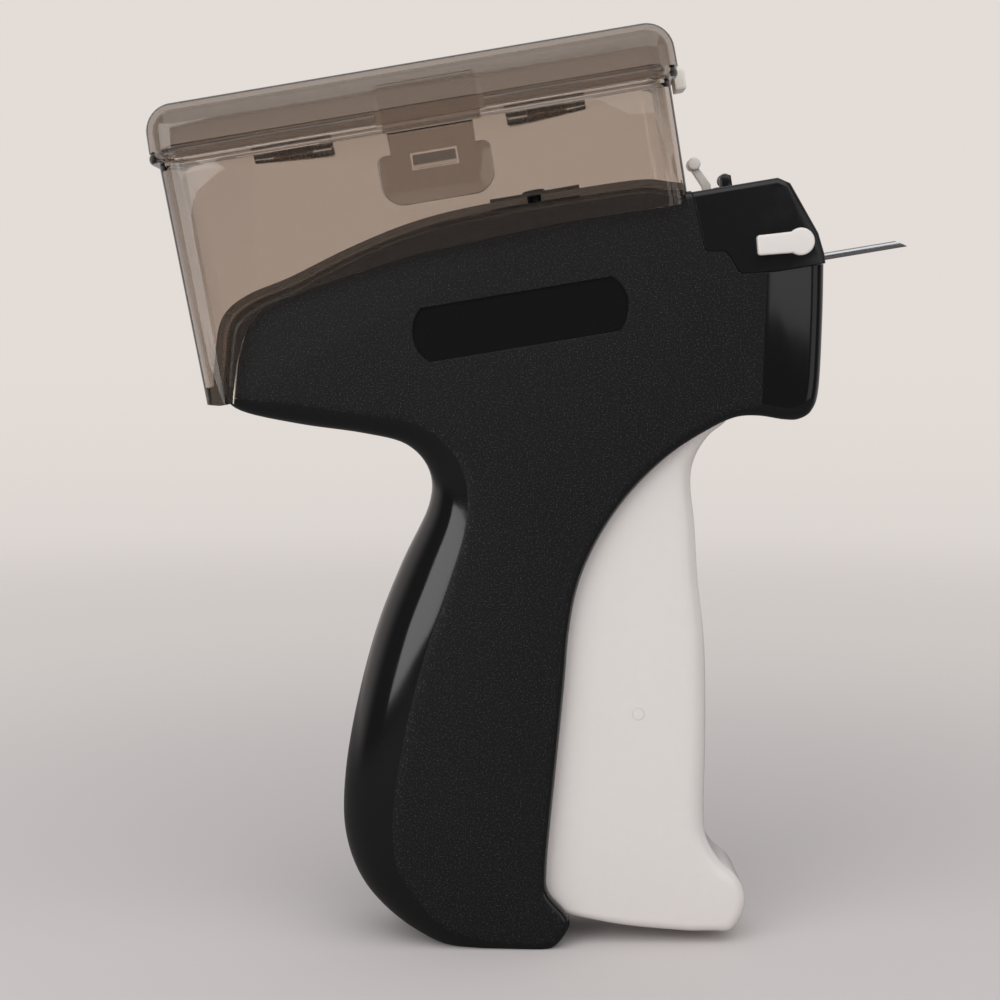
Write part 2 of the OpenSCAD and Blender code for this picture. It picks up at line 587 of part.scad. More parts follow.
module clip_lever() color("#ecebe7") stand() difference() {
    union() {
        across(-1, 1) {
            translate(clip_pivot) circle(r = 1.7);
            polygon([clip_pivot + [-1.3, 0.9], [-22.5, 16.2], [-22.6, 17.5], clip_head + [-0.9, -0.4],
                     clip_head + [0.7, -0.6], [-20.9, 17.5], [-21.1, 15.6], clip_pivot + [1.4, -0.8]]);
            polygon([clip_pivot + [-1.6, 0], [-25.4, 5.6], [-24.6, 4.6], [-20.6, 4.5], [-20.6, 5.4], [-23, 6.6],
                     clip_pivot + [1.5, 0]]);
        }
        pin_y(clip_head, 1.25, -2.2, 2.2);
    }
    pin_y(clip_pivot, 0.8 + fit, -3, 3);
}

module clip_lever_pin() color("#9b9da0") stand() pin_y(clip_pivot, 0.8, -3.2, 3.2);

curl_r = 1.1;
curl_wire = 0.4;
curl_turns = 3.75;
curl_pitch = 0.85;
curl_y = -2.9;
echo(least_gap_of_clip_lever_spring = curl_pitch - curl_wire);
function curl_at(k) = let (a = 270 + k * 360 / curl_rings)
    [[spring_post[0] + curl_r * cos(a), curl_y - curl_pitch * k / curl_rings, spring_post[1] + curl_r * sin(a)],
     [cos(a), 0, sin(a)], [0, 1, 0]];
// The first leg lies across the front of the clip lever, the last one stands on the cover
module clip_lever_spring() color("#55585b") stand() {
    low = spring_post[1] - curl_r;
    x = spring_post[0] - 2;
    last = curl_at(curl_rings * curl_turns);
    wire(concat(
        [[[x, 1, low], [0, 0, -1], [1, 0, 0]], [[x, curl_y + 0.6, low], [0, 0, -1], [0.92, 0.38, 0]],
         [[x + 0.6, curl_y, low], [0, 0, -1], [0.38, 0.92, 0]]],
        [for (k = [0:curl_rings * curl_turns]) curl_at(k)],
        [[[last[0][0], last[0][1], top_z + 0.1], last[1], last[2]]]), curl_wire / 2);
}

// ---- storage case ----
module case_plan(grow, r) {
    round_rect([tray_back - grow, tray_front + grow], tray_w / 2 + grow, r + grow);
}

// The tray's block from z0 to z1: its rear half leans, its front half stands straight
module case_block(grow, r, z0, z1) {
    middle = [tray_mid - 2, tray_mid + 2];
    for (lean = [tan(tray_draft), 0]) multmatrix([[1, 0, -lean, rim_z * lean], [0, 1, 0, 0], [0, 0, 1, 0]])
        translate([0, 0, z0]) linear_extrude(z1 - z0) intersection() {
            case_plan(grow, r);
            translate([lean > 0 ? middle[1] - tray_len : middle[0], -tray_w]) square([tray_len, 2 * tray_w]);
        }
}

function off_body(i, d) = [body_loop[i][0] - body_in[i][0] * d, body_loop[i][1] - body_in[i][1] * d];

module knuckles(part, r) {
    third = hinge_len / 4;
    for (s = [-1, 1]) translate([tray_mid + s * hinge_pitch, hinge_y, hinge_z]) {
        if (part == "lid") pin_x(0, 0, r, -third + 0.1, third - 0.1);
        if (part == "tray") for (t = [-1, 1]) pin_x(0, 0, r, t < 0 ? -hinge_len / 2 : third + 0.1,
                                                    t < 0 ? -third - 0.1 : hinge_len / 2);
        if (part == "pin") pin_x(0, 0, r, -hinge_len / 2 - 0.3, hinge_len / 2 + 0.3);
    }
}

module case_tray() color("#6b5d50", 0.6) stand() difference() {
    union() {
        difference() {
            intersection() {
                case_block(0, corner_r, -15, rim_z);
                across(-40, 40) polygon(concat(
                    [[tray_back - 1, 50], [tray_front + 1, 50], [tray_front + 1, skirt_line[0][1]]],
                    skirt_line, [[-121.6, -9.4], [tray_back - 1, -8.4]]));
            }
            // the inside, down to a floor that follows the body's top and its round tail
            intersection() {
                case_block(-tray_wall, corner_r, -15, 55);
                across(-40, 40) polygon(concat([[tray_back, 60], [tray_front, 60]],
                    [for (i = [16:46]) off_body(i, seat + floor_t)], [[-122.1, -5.6], [tray_back, -5.6]]));
            }
            // the saddle over the body
            across(-half_w - 0.25, half_w + 0.25) polygon(concat([[0, -30], [0, 16.3 + seat]],
                [for (i = [15:51]) off_body(i, seat)], [[-119, -30]]));
            translate([clamp_at[0], 0, 10]) for (s = [-1, 1])
                translate([0, s * clamp_at[1], 0]) cylinder(r = clamp_screw_r + 0.2, h = 20);
        }
        // lip inside the lid, with two snap ribs on the near side
        translate([0, 0, rim_z - 0.2]) linear_extrude(lip_h + 0.2) difference() {
            case_plan(-lip_in, corner_r);
            case_plan(-tray_wall, corner_r);
        }
        for (s = [-1, 1]) translate([tray_mid + s * hinge_pitch - 8, -tray_w / 2 + lip_in - 0.2, rim_z + 1.2])
            cube([16, 0.4, 0.6]);
        // catch for the latch
        translate([latch_x - catch_half, 0, catch_z]) rotate([90, 0, 90]) linear_extrude(2 * catch_half)
            polygon([[-tray_w / 2 + 0.2, catch_h], [-tray_w / 2, catch_h], [-flap_y - latch_t - 0.2, 0.6],
                     [-flap_y - latch_t - 0.2, 0], [-tray_w / 2 + 0.2, 0]]);
        // hinge knuckles on the far side
        knuckles("tray", knuckle_r);
        for (s = [-1, 1], t = [-1, 1])
            translate([tray_mid + s * hinge_pitch + (t < 0 ? -hinge_len / 2 : hinge_len / 4 + 0.1),
                       tray_w / 2 - 0.2, hinge_z - knuckle_r])
                cube([hinge_len / 4 - 0.1, hinge_y - tray_w / 2 + 0.2, 1.3]);
    }
    knuckles("pin", hinge_pin_r + fit);
}

module clamp_plate() color("#1b1b1c") stand() difference() {
    translate([clamp_len[0], -12, floor_z + 0.05]) cube([clamp_len[1] - clamp_len[0], 24, plate_t]);
    for (s = [-1, 1]) translate([clamp_at[0], s * clamp_at[1], floor_z - 1])
        cylinder(r = clamp_screw_r + 0.15, h = 5);
}

module clamp_screws() color("#2b2b2d") stand() for (s = [-1, 1]) translate([clamp_at[0], s * clamp_at[1], 0])
    difference() {
        union() {
            translate([0, 0, 10]) cylinder(r = clamp_screw_r, h = floor_z - 8.5);
            translate([0, 0, floor_z + plate_t + 0.1]) cylinder(r = clamp_head[0], h = clamp_head[1]);
        }
        translate([-2, -0.3, floor_z + plate_t + 0.45]) cube([4, 0.6, 2]);
    }

lid_top = rim_z + 0.1 + lid_h;
lid_round = 5.5;
lid_foot = rim_z + 0.1 + bead_h - 0.4;      // the lid's walls stand on its bead from here
module lid_form(inset) {
    r = lid_round - inset;
    g = lid_out - inset;
    hull() for (x = [tray_back - lid_over[0] + inset + r, tray_front + lid_over[1] - inset - r], s = [-1, 1])
        translate([x, s * (tray_w / 2 + g - r), 0]) {
            translate([0, 0, lid_foot]) cylinder(r = r, h = 2, $fn = 32);
            translate([0, 0, lid_top - inset - r]) sphere(r = r, $fn = 32);
        }
}

slit_x = [-82.7, -63];
slit_w = 1.1;
module case_lid() color("#6b5d50", 0.6) stand() difference() {
    union() {
        lid_form(0);
        translate([0, 0, rim_z + 0.1]) linear_extrude(bead_h) case_plan(bead_out, corner_r);
        // strip that carries the latch, standing off the lid's side
        translate([slit_x[0] + slit_w / 2, -flap_y - latch_t, latch_hinge_z + 0.8])
            cube([slit_x[1] - slit_x[0] - slit_w, latch_t, latch_strip_top - latch_hinge_z]);
        knuckles("lid", knuckle_r);
    }
    lid_form(lid_wall);
    translate([0, 0, rim_z - 1]) linear_extrude(5) case_plan(-lip_in + 0.35, corner_r);
    for (x = slit_x) translate([x - slit_w / 2, -tray_w / 2 - 3, rim_z - 5])
        cube([slit_w, 3.4, latch_strip_top - rim_z + 5]);
    // room for the tray's knuckles
    knuckles("tray", knuckle_r + gap);
    knuckles("pin", hinge_pin_r + fit);
}

module latch_outline() {
    low = latch_hinge_z - latch_drop;
    high = latch_hinge_z - neck_h;
    left = latch_x - latch_w / 2;
    translate([left, low + latch_round]) square([latch_w, high - low - latch_round - shoulder]);
    translate([left + latch_round, low]) square([latch_w - 2 * latch_round, high - low]);
    translate([left + shoulder, high - shoulder]) square([latch_w - 2 * shoulder, shoulder]);
    translate([neck_x[0], high - shoulder]) square([neck_x[1] - neck_x[0], neck_h + shoulder]);
    for (x = [left + latch_round, left + latch_w - latch_round]) translate([x, low + latch_round])
        circle(r = latch_round);
    for (x = [left + shoulder, left + latch_w - shoulder]) translate([x, high - shoulder]) circle(r = shoulder);
}

module case_latch() color("#6b5d50", 0.6) stand() difference() {
    union() {
        across(-flap_y - latch_t, -flap_y) latch_outline();
        pin_x(-flap_y - latch_t / 2, latch_hinge_z, latch_t / 2, neck_x[0], neck_x[1]);
    }
    translate([latch_x - catch_half - gap, -30, catch_z - gap])
        cube([2 * (catch_half + gap), 20, catch_h + 2 * gap]);
}

module lid_hinge_pins() color("#9b9da0") stand() knuckles("pin", hinge_pin_r);

module lid_thumb_lug() color("#d8d4cc") stand()
    translate([tray_front + lid_over[1] + 0.05, -3, rim_z - 1.2]) cube([2.2, 6, 4.2]);

housing_right();
housing_left();
housing_screws();
nose_cover();
needle();
needle_hub();
knife_blade();
needle_lock_lever();
trigger();
trigger_pin();
trigger_crosspin();
drive_lever();
drive_lever_pin();
slide_carriage();
carriage_pin();
push_rod();
return_spring();
feed_track();
feed_wheel();
feed_wheel_axle();
feed_pawl();
clip_lever();
clip_lever_pin();
clip_lever_spring();
case_tray();
clamp_plate();
clamp_screws();
case_lid();
case_latch();
lid_hinge_pins();
lid_thumb_lug();
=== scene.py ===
"""Garment tag attacher: black body, glossy nose cover, white trigger, smoky clear case on its back."""

from math import asin, cos, degrees, pi, radians, sin, tan

import bmesh
import bpy
from bpy.props import FloatProperty, FloatVectorProperty, IntProperty, PointerProperty
from mathutils import Matrix, Vector


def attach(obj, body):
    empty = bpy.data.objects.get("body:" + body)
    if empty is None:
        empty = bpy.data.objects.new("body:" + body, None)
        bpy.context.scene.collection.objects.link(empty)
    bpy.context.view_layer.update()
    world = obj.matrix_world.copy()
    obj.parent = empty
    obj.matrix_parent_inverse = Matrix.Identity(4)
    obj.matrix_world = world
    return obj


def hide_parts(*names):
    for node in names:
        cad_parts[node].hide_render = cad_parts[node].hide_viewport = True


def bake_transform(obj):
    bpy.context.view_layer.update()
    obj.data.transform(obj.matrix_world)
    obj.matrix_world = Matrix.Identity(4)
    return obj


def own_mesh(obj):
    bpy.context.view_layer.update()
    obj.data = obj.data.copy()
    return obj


bl_info = {
    "name": "Garment Tag Attacher",
    "version": (1, 0, 0),
    "blender": (4, 5, 0),
    "location": "View3D > Sidebar > Tag Attacher",
    "description": "Builds a garment tag attacher and its studio stage",
    "category": "Object",
}

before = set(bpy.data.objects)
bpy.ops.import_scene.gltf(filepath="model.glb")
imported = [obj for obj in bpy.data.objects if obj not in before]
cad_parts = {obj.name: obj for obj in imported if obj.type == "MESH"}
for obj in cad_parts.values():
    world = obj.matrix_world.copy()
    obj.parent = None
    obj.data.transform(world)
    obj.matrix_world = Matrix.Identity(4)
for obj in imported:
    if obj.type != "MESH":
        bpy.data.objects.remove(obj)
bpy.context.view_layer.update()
MM = 0.001
SAME = 1e-4  # in millimetres: points nearer than this are one point

# The tool is drawn in millimetres with its barrel along +X and the needle's root at the origin,
# then stood on the flat of its butt.
BARREL_TILT = 9.4
STAND = (Matrix.Translation((65 * MM, 0, 136.9 * MM))
         @ Matrix.Rotation(radians(-BARREL_TILT), 4, "Y") @ Matrix.Scale(MM, 4))

# Body outline: [x, z, radius of the edge there], from the nose over the top and down the handle's back
REAR_LINE = [
    (-2.8, 0.5, 3), (-3, 5, 3), (-4.6, 10, 3), (-9.2, 14.6, 2.5), (-18, 16.2, 2),
    (-26.6, 16.3, 2), (-30.5, 17.1, 2), (-36, 18.4, 2), (-50, 18.7, 2), (-68, 18.6, 2),
    (-80, 17.5, 2), (-92, 14.8, 2), (-104, 11.2, 2.5), (-112.5, 9.2, 3), (-117.4, 6, 3),
    (-119.8, -1, 3), (-121, -7.2, 3), (-118.6, -11.1, 3.5), (-108, -15.5, 5), (-96, -19.3, 5),
    (-88.2, -22.9, 6), (-84.8, -28.8, 8), (-86.2, -35.8, 10), (-93.4, -46.2, 12.5),
    (-100.5, -58, 13), (-107, -72.3, 13), (-112, -86.5, 13), (-114, -98, 12.5),
    (-112.2, -108, 11), (-106.6, -116.2, 9), (-98.8, -122.1, 6), (-92, -124.1, 4), (-86, -125.1, 3)]
# From the nose under the barrel and down the front of the handle
FRONT_LINE = [
    (-2.9, -1.5, 3), (-4.7, -12, 3), (-7.3, -24.8, 3), (-9.3, -29, 3), (-12, -30.3, 3),
    (-15, -29.9, 2.5), (-20, -28.3, 2.5), (-24.6, -27.9, 2), (-30, -29.4, 2), (-37, -32.4, 2),
    (-44, -36.9, 2), (-50, -42.1, 2), (-55.3, -48.3, 2), (-59.6, -55.3, 2), (-62.7, -63.7, 2),
    (-65.3, -74, 2), (-69, -88, 2), (-72.6, -101.5, 2), (-74.7, -110, 2), (-75.1, -115, 2),
    (-72, -120.6, 2), (-73.6, -124.2, 2), (-77.2, -126.4, 2.5), (-83, -125.7, 2.8)]
PIVOT = (-27.0, -18.0)
BOTTOM_R = 112.4


def on_bottom(angle):
    """A point of the trigger's lower end, which is an arc about its pivot."""
    a = radians(angle)
    return (PIVOT[0] - BOTTOM_R * sin(a), PIVOT[1] - BOTTOM_R * cos(a))


TRIGGER_FRONT = [
    (-27, -13.4, 1), (-23.2, -15.2, 1), (-22.5, -19, 1), (-23.2, -23.5, 2), (-25.4, -28.2, 3),
    (-29.6, -30.9, 3.5), (-32.8, -34.7, 4), (-34.4, -39.5, 4), (-34.9, -48, 4), (-35.9, -58.3, 4),
    (-36.4, -69, 4), (-37.5, -78.6, 4), (-39.4, -90.8, 4), (-41.9, -105, 4), (-42.2, -110.5, 3.5),
    (-40.4, -115.3, 3), (-37.6, -119, 2.5), (-36.5, -122.8, 2.5), (-37.5, -126.6, 2.5),
    (*on_bottom(6.8), 2.5), (*on_bottom(8.4), 2)]
TRIGGER_REAR = [
    (-29, -13.8, 1), (-31.4, -16.2, 1), (-32.6, -20.5, 1), (-36, -25.8, 1), (-43, -30.6, 1),
    (-49.5, -35.8, 1), (-55.6, -42.2, 1), (-60.4, -49, 1), (-64.2, -57, 1), (-67, -66, 1),
    (-69.4, -76.5, 1), (-71.8, -85.6, 1), (-74.3, -95, 1), (-76.6, -104, 1), (-77, -111, 1),
    (*on_bottom(25.4), 1), (*on_bottom(24), 1.5), (*on_bottom(18), 2), (*on_bottom(12), 2),
    (*on_bottom(9.6), 2)]
CROSSPIN = (-51.9, -82.8)
# The front of the nose's sides is smooth and turns in a little, ahead of a line parallel to the front edge.
# NOSE_BACK measures across that line in the world, and NOSE_FLAT is where the grained flat ends, in metres.
NOSE_SLOPE = 0.189
NOSE_LINE = -14.3
NOSE_TURN = 0.1
NOSE_BACK = STAND.to_3x3().inverted().transposed() @ Vector((1, 0, -NOSE_SLOPE)) * MM
NOSE_FLAT = NOSE_LINE * MM + NOSE_BACK.dot(STAND.translation)
# Line where the nose cover meets the body
NOSE_SEAM = [(-26.5, 30), (-26.2, 14.7), (-25.5, 4.9), (-24.8, 4.3), (-21.6, 3.8), (-20.9, 2.6),
             (-19.8, -0.2), (-19.2, -0.9), (-13, -1.5), (5, -1.6), (5, 30)]
BOSSES = [(-104, -2), (-38, 11.4), (-93.5, -60), (-97.5, -114.4)]
WALL = 2.2
LOCK = (-7.4, 3.3)
CLIP_PIVOT = (-24.2, 12.4)
CLIP_HEAD = (-23.6, 22.0)
SPRING_POST = (-18.7, 17.6)

# Storage case
TRAY_X = (-125.5, -27.0)
TRAY_HALF = 16.0
TRAY_CORNER = 4.5
TRAY_MID = -76.25
TRAY_WALL, RIM_WALL = 1.1, 1.8
RIM = 37.6
TRAY_DRAFT = tan(radians(1.1))  # slant of the tray's rear wall
LID_OVER = (0.9, 1.3)  # how much further the lid's ends stand out than its sides
LID_CORNER = 4.9
LATCH_X = -73.4
LATCH_HINGE = 35.0
LATCH_DROP = 13.0
FLAP_Y = -16.3
FLAP_T = 1.4
HINGE_Y, HINGE_Z, HINGE_LEN = 18.4, 37.7, 16.0
HINGE_MIDDLES = (TRAY_MID - 26.4, TRAY_MID + 26.4)
KNUCKLE_R = 1.7
SKIRT = [(-30, 13.9), (-50, 14.2), (-68, 13.4), (-80, 12.8), (-92, 11.2), (-104, 9.1),
         (-109.5, 8), (-113.2, 5), (-115.4, 1.6), (-117, -2.2), (-119.2, -9.4)]

# Finish of the frame's own pieces that no piece below stands for
WORKS = {
    "steel": ["knife_blade", "trigger_pin", "trigger_crosspin", "drive_lever_pin", "carriage_pin", "push_rod",
              "feed_wheel_axle", "clip_lever_pin", "lid_hinge_pins"],
    "wire": ["feed_pawl"],
    "nylon": ["drive_lever", "slide_carriage", "feed_track", "feed_wheel", "needle_hub"],
    "gloss_black": ["clamp_plate"],
}
ABS_IOR = 1.54

# Stage, in metres. Lamps: name, place, width and height, watts
LAMPS = (("overhead_softbox", (0.0, -0.55, 0.95), (1.6, 1.2), 6.3),
         ("left_softbox", (-0.48, -0.52, 0.25), (0.54, 0.42), 1.8),
         ("nose_card", (0.27, -0.5, 0.2), (0.14, 0.17), 0.06),
         ("right_softbox", (0.8, -0.5, 0.25), (0.5, 0.7), 0.6))
LAMP_AIM = Vector((0, 0, 0.08))
CAMERA_AT = (0, -0.35, 0.1203)
CAMERA_DOWN = 5.224  # degrees below level


# ---- colours and shader nodes ----

def linear(hex_colour):
    """Turns an sRGB hex string into linear red, green, blue and alpha."""
    values = [int(hex_colour[i:i + 2], 16) / 255 for i in (0, 2, 4)]
    return tuple(v / 12.92 if v <= 0.04045 else ((v + 0.055) / 1.055) ** 2.4 for v in values) + (1.0,)


def add(tree, kind, sockets=(), **settings):
    """Adds one node with its settings. Its kind is named without ShaderNode or GeometryNode. Its sockets are
    set by name or in order, each from a value, a socket or a node, whose first output in use is meant."""
    prefix = "" if kind.startswith("NodeGroup") else tree.bl_idname.removesuffix("Tree")
    node = tree.nodes.new(prefix + kind)
    column, row = len(tree.nodes) % 6, len(tree.nodes) // 6
    node.location = (250 * column, -350 * row)
    for name, value in settings.items():
        setattr(node, name, value)
    for name, value in sockets.items() if isinstance(sockets, dict) else enumerate(sockets):
        if isinstance(value, bpy.types.Node):
            value = next(output for output in value.outputs if output.enabled)
        if isinstance(value, bpy.types.NodeSocket):
            tree.links.new(value, node.inputs[name])
        else:
            node.inputs[name].default_value = value
    return node


def new_material(name):
    """An empty node material, its tree and its Object coordinates."""
    material = bpy.data.materials.new(name)
    material.use_nodes = True
    tree = material.node_tree
    tree.nodes.clear()
    return material, tree, add(tree, "TexCoord").outputs["Object"]


def shaded(colour, factor=1):
    """A colour with its red, green and blue scaled, and full alpha."""
    return tuple(factor * v for v in colour[:3]) + (1,)


def grained_black_abs(colour, grain):
    """Black ABS moulded in a spark-eroded tool: the flat sides have a fine matt grain, whose tips are painted
    lighter as glints: painted highlights.
    The rounded edges, the front of the nose and the bare label panels are smooth and shine."""
    material, tree, spot = new_material("spark_eroded_black_abs")
    split = add(tree, "SeparateXYZ", [spot])
    from_middle = add(tree, "Math", [split.outputs["Y"]], operation="ABSOLUTE")
    flat_side = add(tree, "MapRange", [from_middle, 13.25 * MM, 13.42 * MM], interpolation_type="SMOOTHSTEP")
    # the place along the barrel, measured across the nose's front edge
    back = add(tree, "VectorMath", [spot, tuple(NOSE_BACK)], operation="DOT_PRODUCT")
    behind = add(tree, "MapRange", [back, NOSE_FLAT - 0.2 * MM, NOSE_FLAT + 0.2 * MM, 1.0, 0.0])
    grained = add(tree, "Math", [flat_side, behind], operation="MULTIPLY")
    # grains about 0.3 mm across, a little coarser than real so that they show
    pits = add(tree, "TexNoise", {"Vector": spot, "Scale": 1 / (grain * MM), "Detail": 3.0, "Roughness": 0.6})
    wear = add(tree, "TexNoise", {"Vector": spot, "Scale": 1 / (14 * MM), "Detail": 4.0, "Roughness": 0.65})
    rough = add(tree, "MapRange", [grained, 0, 1, 0.07, 0.5])
    rough_worn = add(tree, "Math", [wear, 0.06, rough], operation="MULTIPLY_ADD")
    # the grain's pits shade each other, so the grained face mirrors less
    dull = add(tree, "MapRange", [grained, 0, 1, 0.5, 0.25])
    # painted highlight: the grain's tips are picked out here to be painted lighter, as glints
    painted_glint_tip = add(tree, "MapRange", [pits, 0.53, 0.68], interpolation_type="SMOOTHSTEP")
    painted_glint = add(tree, "Math", [painted_glint_tip, grained], operation="MULTIPLY")
    # the base colour is painted 4.5 times lighter on the grain's tips: painted glints
    tone = add(tree, "Mix",
               {"Factor": painted_glint, "A": shaded(colour, 0.75), "B": shaded(colour, 4.5)}, data_type="RGBA")
    depth = add(tree, "Math", [grained, 0.34], operation="MULTIPLY")
    bump = add(tree, "Bump",
               {"Strength": depth, "Distance": 0.05 * MM, "Height": pits,
                "Normal": add(tree, "Bevel", [0.25 * MM], samples=4)})
    skin = add(tree, "BsdfPrincipled", {"Base Color": tone, "Roughness": rough_worn, "IOR": ABS_IOR,
                                        "Specular IOR Level": dull, "Normal": bump})
    add(tree, "OutputMaterial", [skin])
    return material


def polished_plastic(name, colour, roughness, edge, ripple):
    """A smooth moulded plastic with a faint ripple in its polish and softly rounded edges."""
    material, tree, spot = new_material(name)
    waves = add(tree, "TexNoise", {"Vector": spot, "Scale": 1 / (9 * MM), "Detail": 2.0})
    scuffs = add(tree, "TexNoise", {"Vector": spot, "Scale": 1 / (2.5 * MM), "Detail": 6.0, "Roughness": 0.7})
    rough = add(tree, "MapRange", [scuffs, 0.3, 0.75, roughness * 0.8, roughness * 1.35])
    tone = add(tree, "Mix",
               {"Factor": scuffs, "A": shaded(colour, 0.95), "B": shaded(colour)}, data_type="RGBA")
    bump = add(tree, "Bump",
               {"Strength": ripple, "Distance": 0.15 * MM, "Height": waves,
                "Normal": add(tree, "Bevel", [edge * MM], samples=4)})
    skin = add(tree, "BsdfPrincipled",
               {"Base Color": tone, "Roughness": rough, "IOR": ABS_IOR, "Normal": bump})
    add(tree, "OutputMaterial", [skin])
    return material


def smoky_polystyrene(name, colour, shade):
    """Smoky crystal polystyrene: each wall takes about a third of the light, and long ways through it
    take more. The case's shadow is a light one, as a thin clear box's is."""
    # a shade below 1 paints the plastic darker: painted shade
    tint = shaded(colour, shade)
    material, tree, spot = new_material(name)
    flow = add(tree, "TexNoise", {"Vector": spot, "Scale": 1 / (30 * MM), "Detail": 1.0})
    scuffs = add(tree, "TexNoise", {"Vector": spot, "Scale": 1 / (4 * MM), "Detail": 5.0})
    rough = add(tree, "MapRange", [scuffs, 0.35, 0.75, 0.01, 0.05])
    bump = add(tree, "Bump", {"Strength": 0.05, "Distance": 0.3 * MM, "Height": flow})
    skin = add(tree, "BsdfPrincipled",
               {"Base Color": tint, "Roughness": rough, "IOR": 1.5, "Transmission Weight": 1.0,
                "Normal": bump})
    clear = add(tree, "BsdfTransparent", [tuple(v ** 0.5 for v in tint)])
    ray = add(tree, "LightPath")
    mix = add(tree, "MixShader", [ray.outputs["Is Shadow Ray"], skin, clear])
    depth = add(tree, "VolumeAbsorption", {"Color": linear("dad8d6"), "Density": 220.0})
    add(tree, "OutputMaterial", {"Surface": mix, "Volume": depth})
    return material


def drawn_steel(name, colour, roughness, across=(1, 1, 1)):
    """Stainless steel: bright, with fine lines left by drawing or grinding."""
    material, tree, spot = new_material(name)
    turn = add(tree, "Mapping", {"Vector": spot, "Scale": across})
    lines = add(tree, "TexNoise", {"Vector": turn, "Scale": 1 / (0.4 * MM), "Detail": 3.0})
    rough = add(tree, "MapRange", [lines, 0, 1, roughness * 0.7, roughness * 1.4])
    bump = add(tree, "Bump",
               {"Strength": 0.15, "Distance": 0.02 * MM, "Height": lines,
                "Normal": add(tree, "Bevel", [0.08 * MM], samples=4)})
    skin = add(tree, "BsdfPrincipled",
               {"Base Color": colour, "Metallic": 1.0, "Roughness": rough, "Normal": bump})
    add(tree, "OutputMaterial", [skin])
    return material


def milky_nylon(name, colour, glow):
    """Natural nylon: milky, lets some light in, soft shine."""
    material, tree, spot = new_material(name)
    cloud = add(tree, "TexNoise", {"Vector": spot, "Scale": 1 / (5 * MM), "Detail": 3.0})
    tone = add(tree, "Mix", {"Factor": cloud, "A": shaded(colour, 0.9), "B": colour}, data_type="RGBA")
    rough = add(tree, "MapRange", [cloud, 0, 1, 0.3, 0.5])
    skin = add(tree, "BsdfPrincipled",
               {"Base Color": tone, "Roughness": rough, "IOR": 1.53,
                "Subsurface Weight": glow, "Subsurface Scale": 1.5 * MM,
                "Normal": add(tree, "Bevel", [0.2 * MM], samples=4)})
    add(tree, "OutputMaterial", [skin])
    return material


MADE = {}


def finish_of(name):
    """The material of that name, made once from the panel's colours."""
    if name not in MADE:
        looks = bpy.context.scene.tag_attacher_finish
        MADE[name] = {
            "grained": lambda: grained_black_abs(looks.black, looks.grain),
            "gloss_black": lambda: polished_plastic("polished_black_abs", looks.black, 0.16, 0.3, 0.05),
            "white": lambda: polished_plastic("polished_white_abs", looks.white, 0.2, 0.35, 0.04),
            "smoke": lambda: smoky_polystyrene("smoky_clear_polystyrene", looks.smoke, 1.0),
            # painted shade: the lid and the latch get a copy of the tray's smoky plastic painted darker, for
            # where their walls lie over other walls
            "lid_smoke_painted_darker": lambda: smoky_polystyrene("smoky_clear_polystyrene_painted_darker", looks.smoke, 0.77),
            "steel": lambda: drawn_steel("ground_stainless_steel", linear("c9cacb"), 0.24),
            "black_steel": lambda: drawn_steel("blackened_steel", linear("35363a"), 0.38),
            "needle": lambda: drawn_steel("drawn_stainless_tube", linear("cfd0d2"), 0.2, (0.06, 1, 1)),
            "wire": lambda: drawn_steel("hard_drawn_spring_wire", linear("7d8083"), 0.3),
            "nylon": lambda: milky_nylon("natural_nylon", linear("d9d5cb"), 0.1),
            "milky": lambda: milky_nylon("milky_polypropylene", linear("e9e6df"), 0.35),
        }[name]()
    return MADE[name]


# ---- outlines and meshes ----

def smooth(points, steps):
    """A smooth line through stations of [x, z, radius]."""
    last = len(points) - 1
    line = []
    for i in range(last):
        p0, p1, p2, p3 = points[max(i - 1, 0)], points[i], points[i + 1], points[min(i + 2, last)]
        for k in range(steps):
            t = k / steps
            line.append(tuple(0.5 * (2 * b + (c - a) * t + (2 * a - 5 * b + 4 * c - d) * t * t
                                     + (3 * b - a - 3 * c + d) * t ** 3)
                              for a, b, c, d in zip(p0, p1, p2, p3)))
    return line + [tuple(points[last])]


def loop_of(first, second, steps):
    """A closed outline: down the first line and back up the second."""
    return smooth(first, steps) + smooth(second, steps)[::-1]


def inward(outline, reach):
    """The inward direction at each point, taken over a few neighbours so that it turns gently."""
    n = len(outline)
    directions = []
    for i in range(n):
        a, b = outline[(i + n - reach) % n], outline[(i + reach) % n]
        d = Vector((b[0] - a[0], b[1] - a[1])).normalized()
        directions.append((-d.y, d.x))
    return directions


def edge_ring(outline, directions, half, inset, angle):
    """One ring of a rounded edge on the -Y side: angle 90 is the flat face, 0 the start of the wall."""
    f = radians(angle)
    ring = []
    for (x, z, radius), (dx, dz) in zip(outline, directions):
        r = max(radius - inset, 0.5)
        s = inset + r * (1 - cos(f))
        ring.append((x + dx * s, -(half - inset - r + r * sin(f)), z + dz * s))
    return ring


def skin_rings(rings):
    """A closed mesh through rings of points, with a face across its first and its last ring."""
    bm = bmesh.new()
    rows = [[bm.verts.new(p) for p in ring] for ring in rings]
    n = len(rows[0])
    for a, b in zip(rows, rows[1:]):
        for i in range(n):
            k = (i + 1) % n
            bm.faces.new((a[i], b[i], b[k], a[k]))
    bm.faces.new(rows[0])
    bm.faces.new(rows[-1][::-1])
    bmesh.ops.remove_doubles(bm, verts=bm.verts, dist=1e-5)
    bmesh.ops.recalc_face_normals(bm, faces=bm.faces)
    return bm


def prism(points, y0, y1):
    """A flat outline in x and z, given thickness from y0 to y1."""
    return skin_rings([[(x, y0, z) for x, z in points], [(x, y1, z) for x, z in points]])


def box(low, high):
    """A plain block, used for cutting and for small bars."""
    return prism([(low[0], low[2]), (high[0], low[2]), (high[0], high[2]), (low[0], high[2])],
                 low[1], high[1])


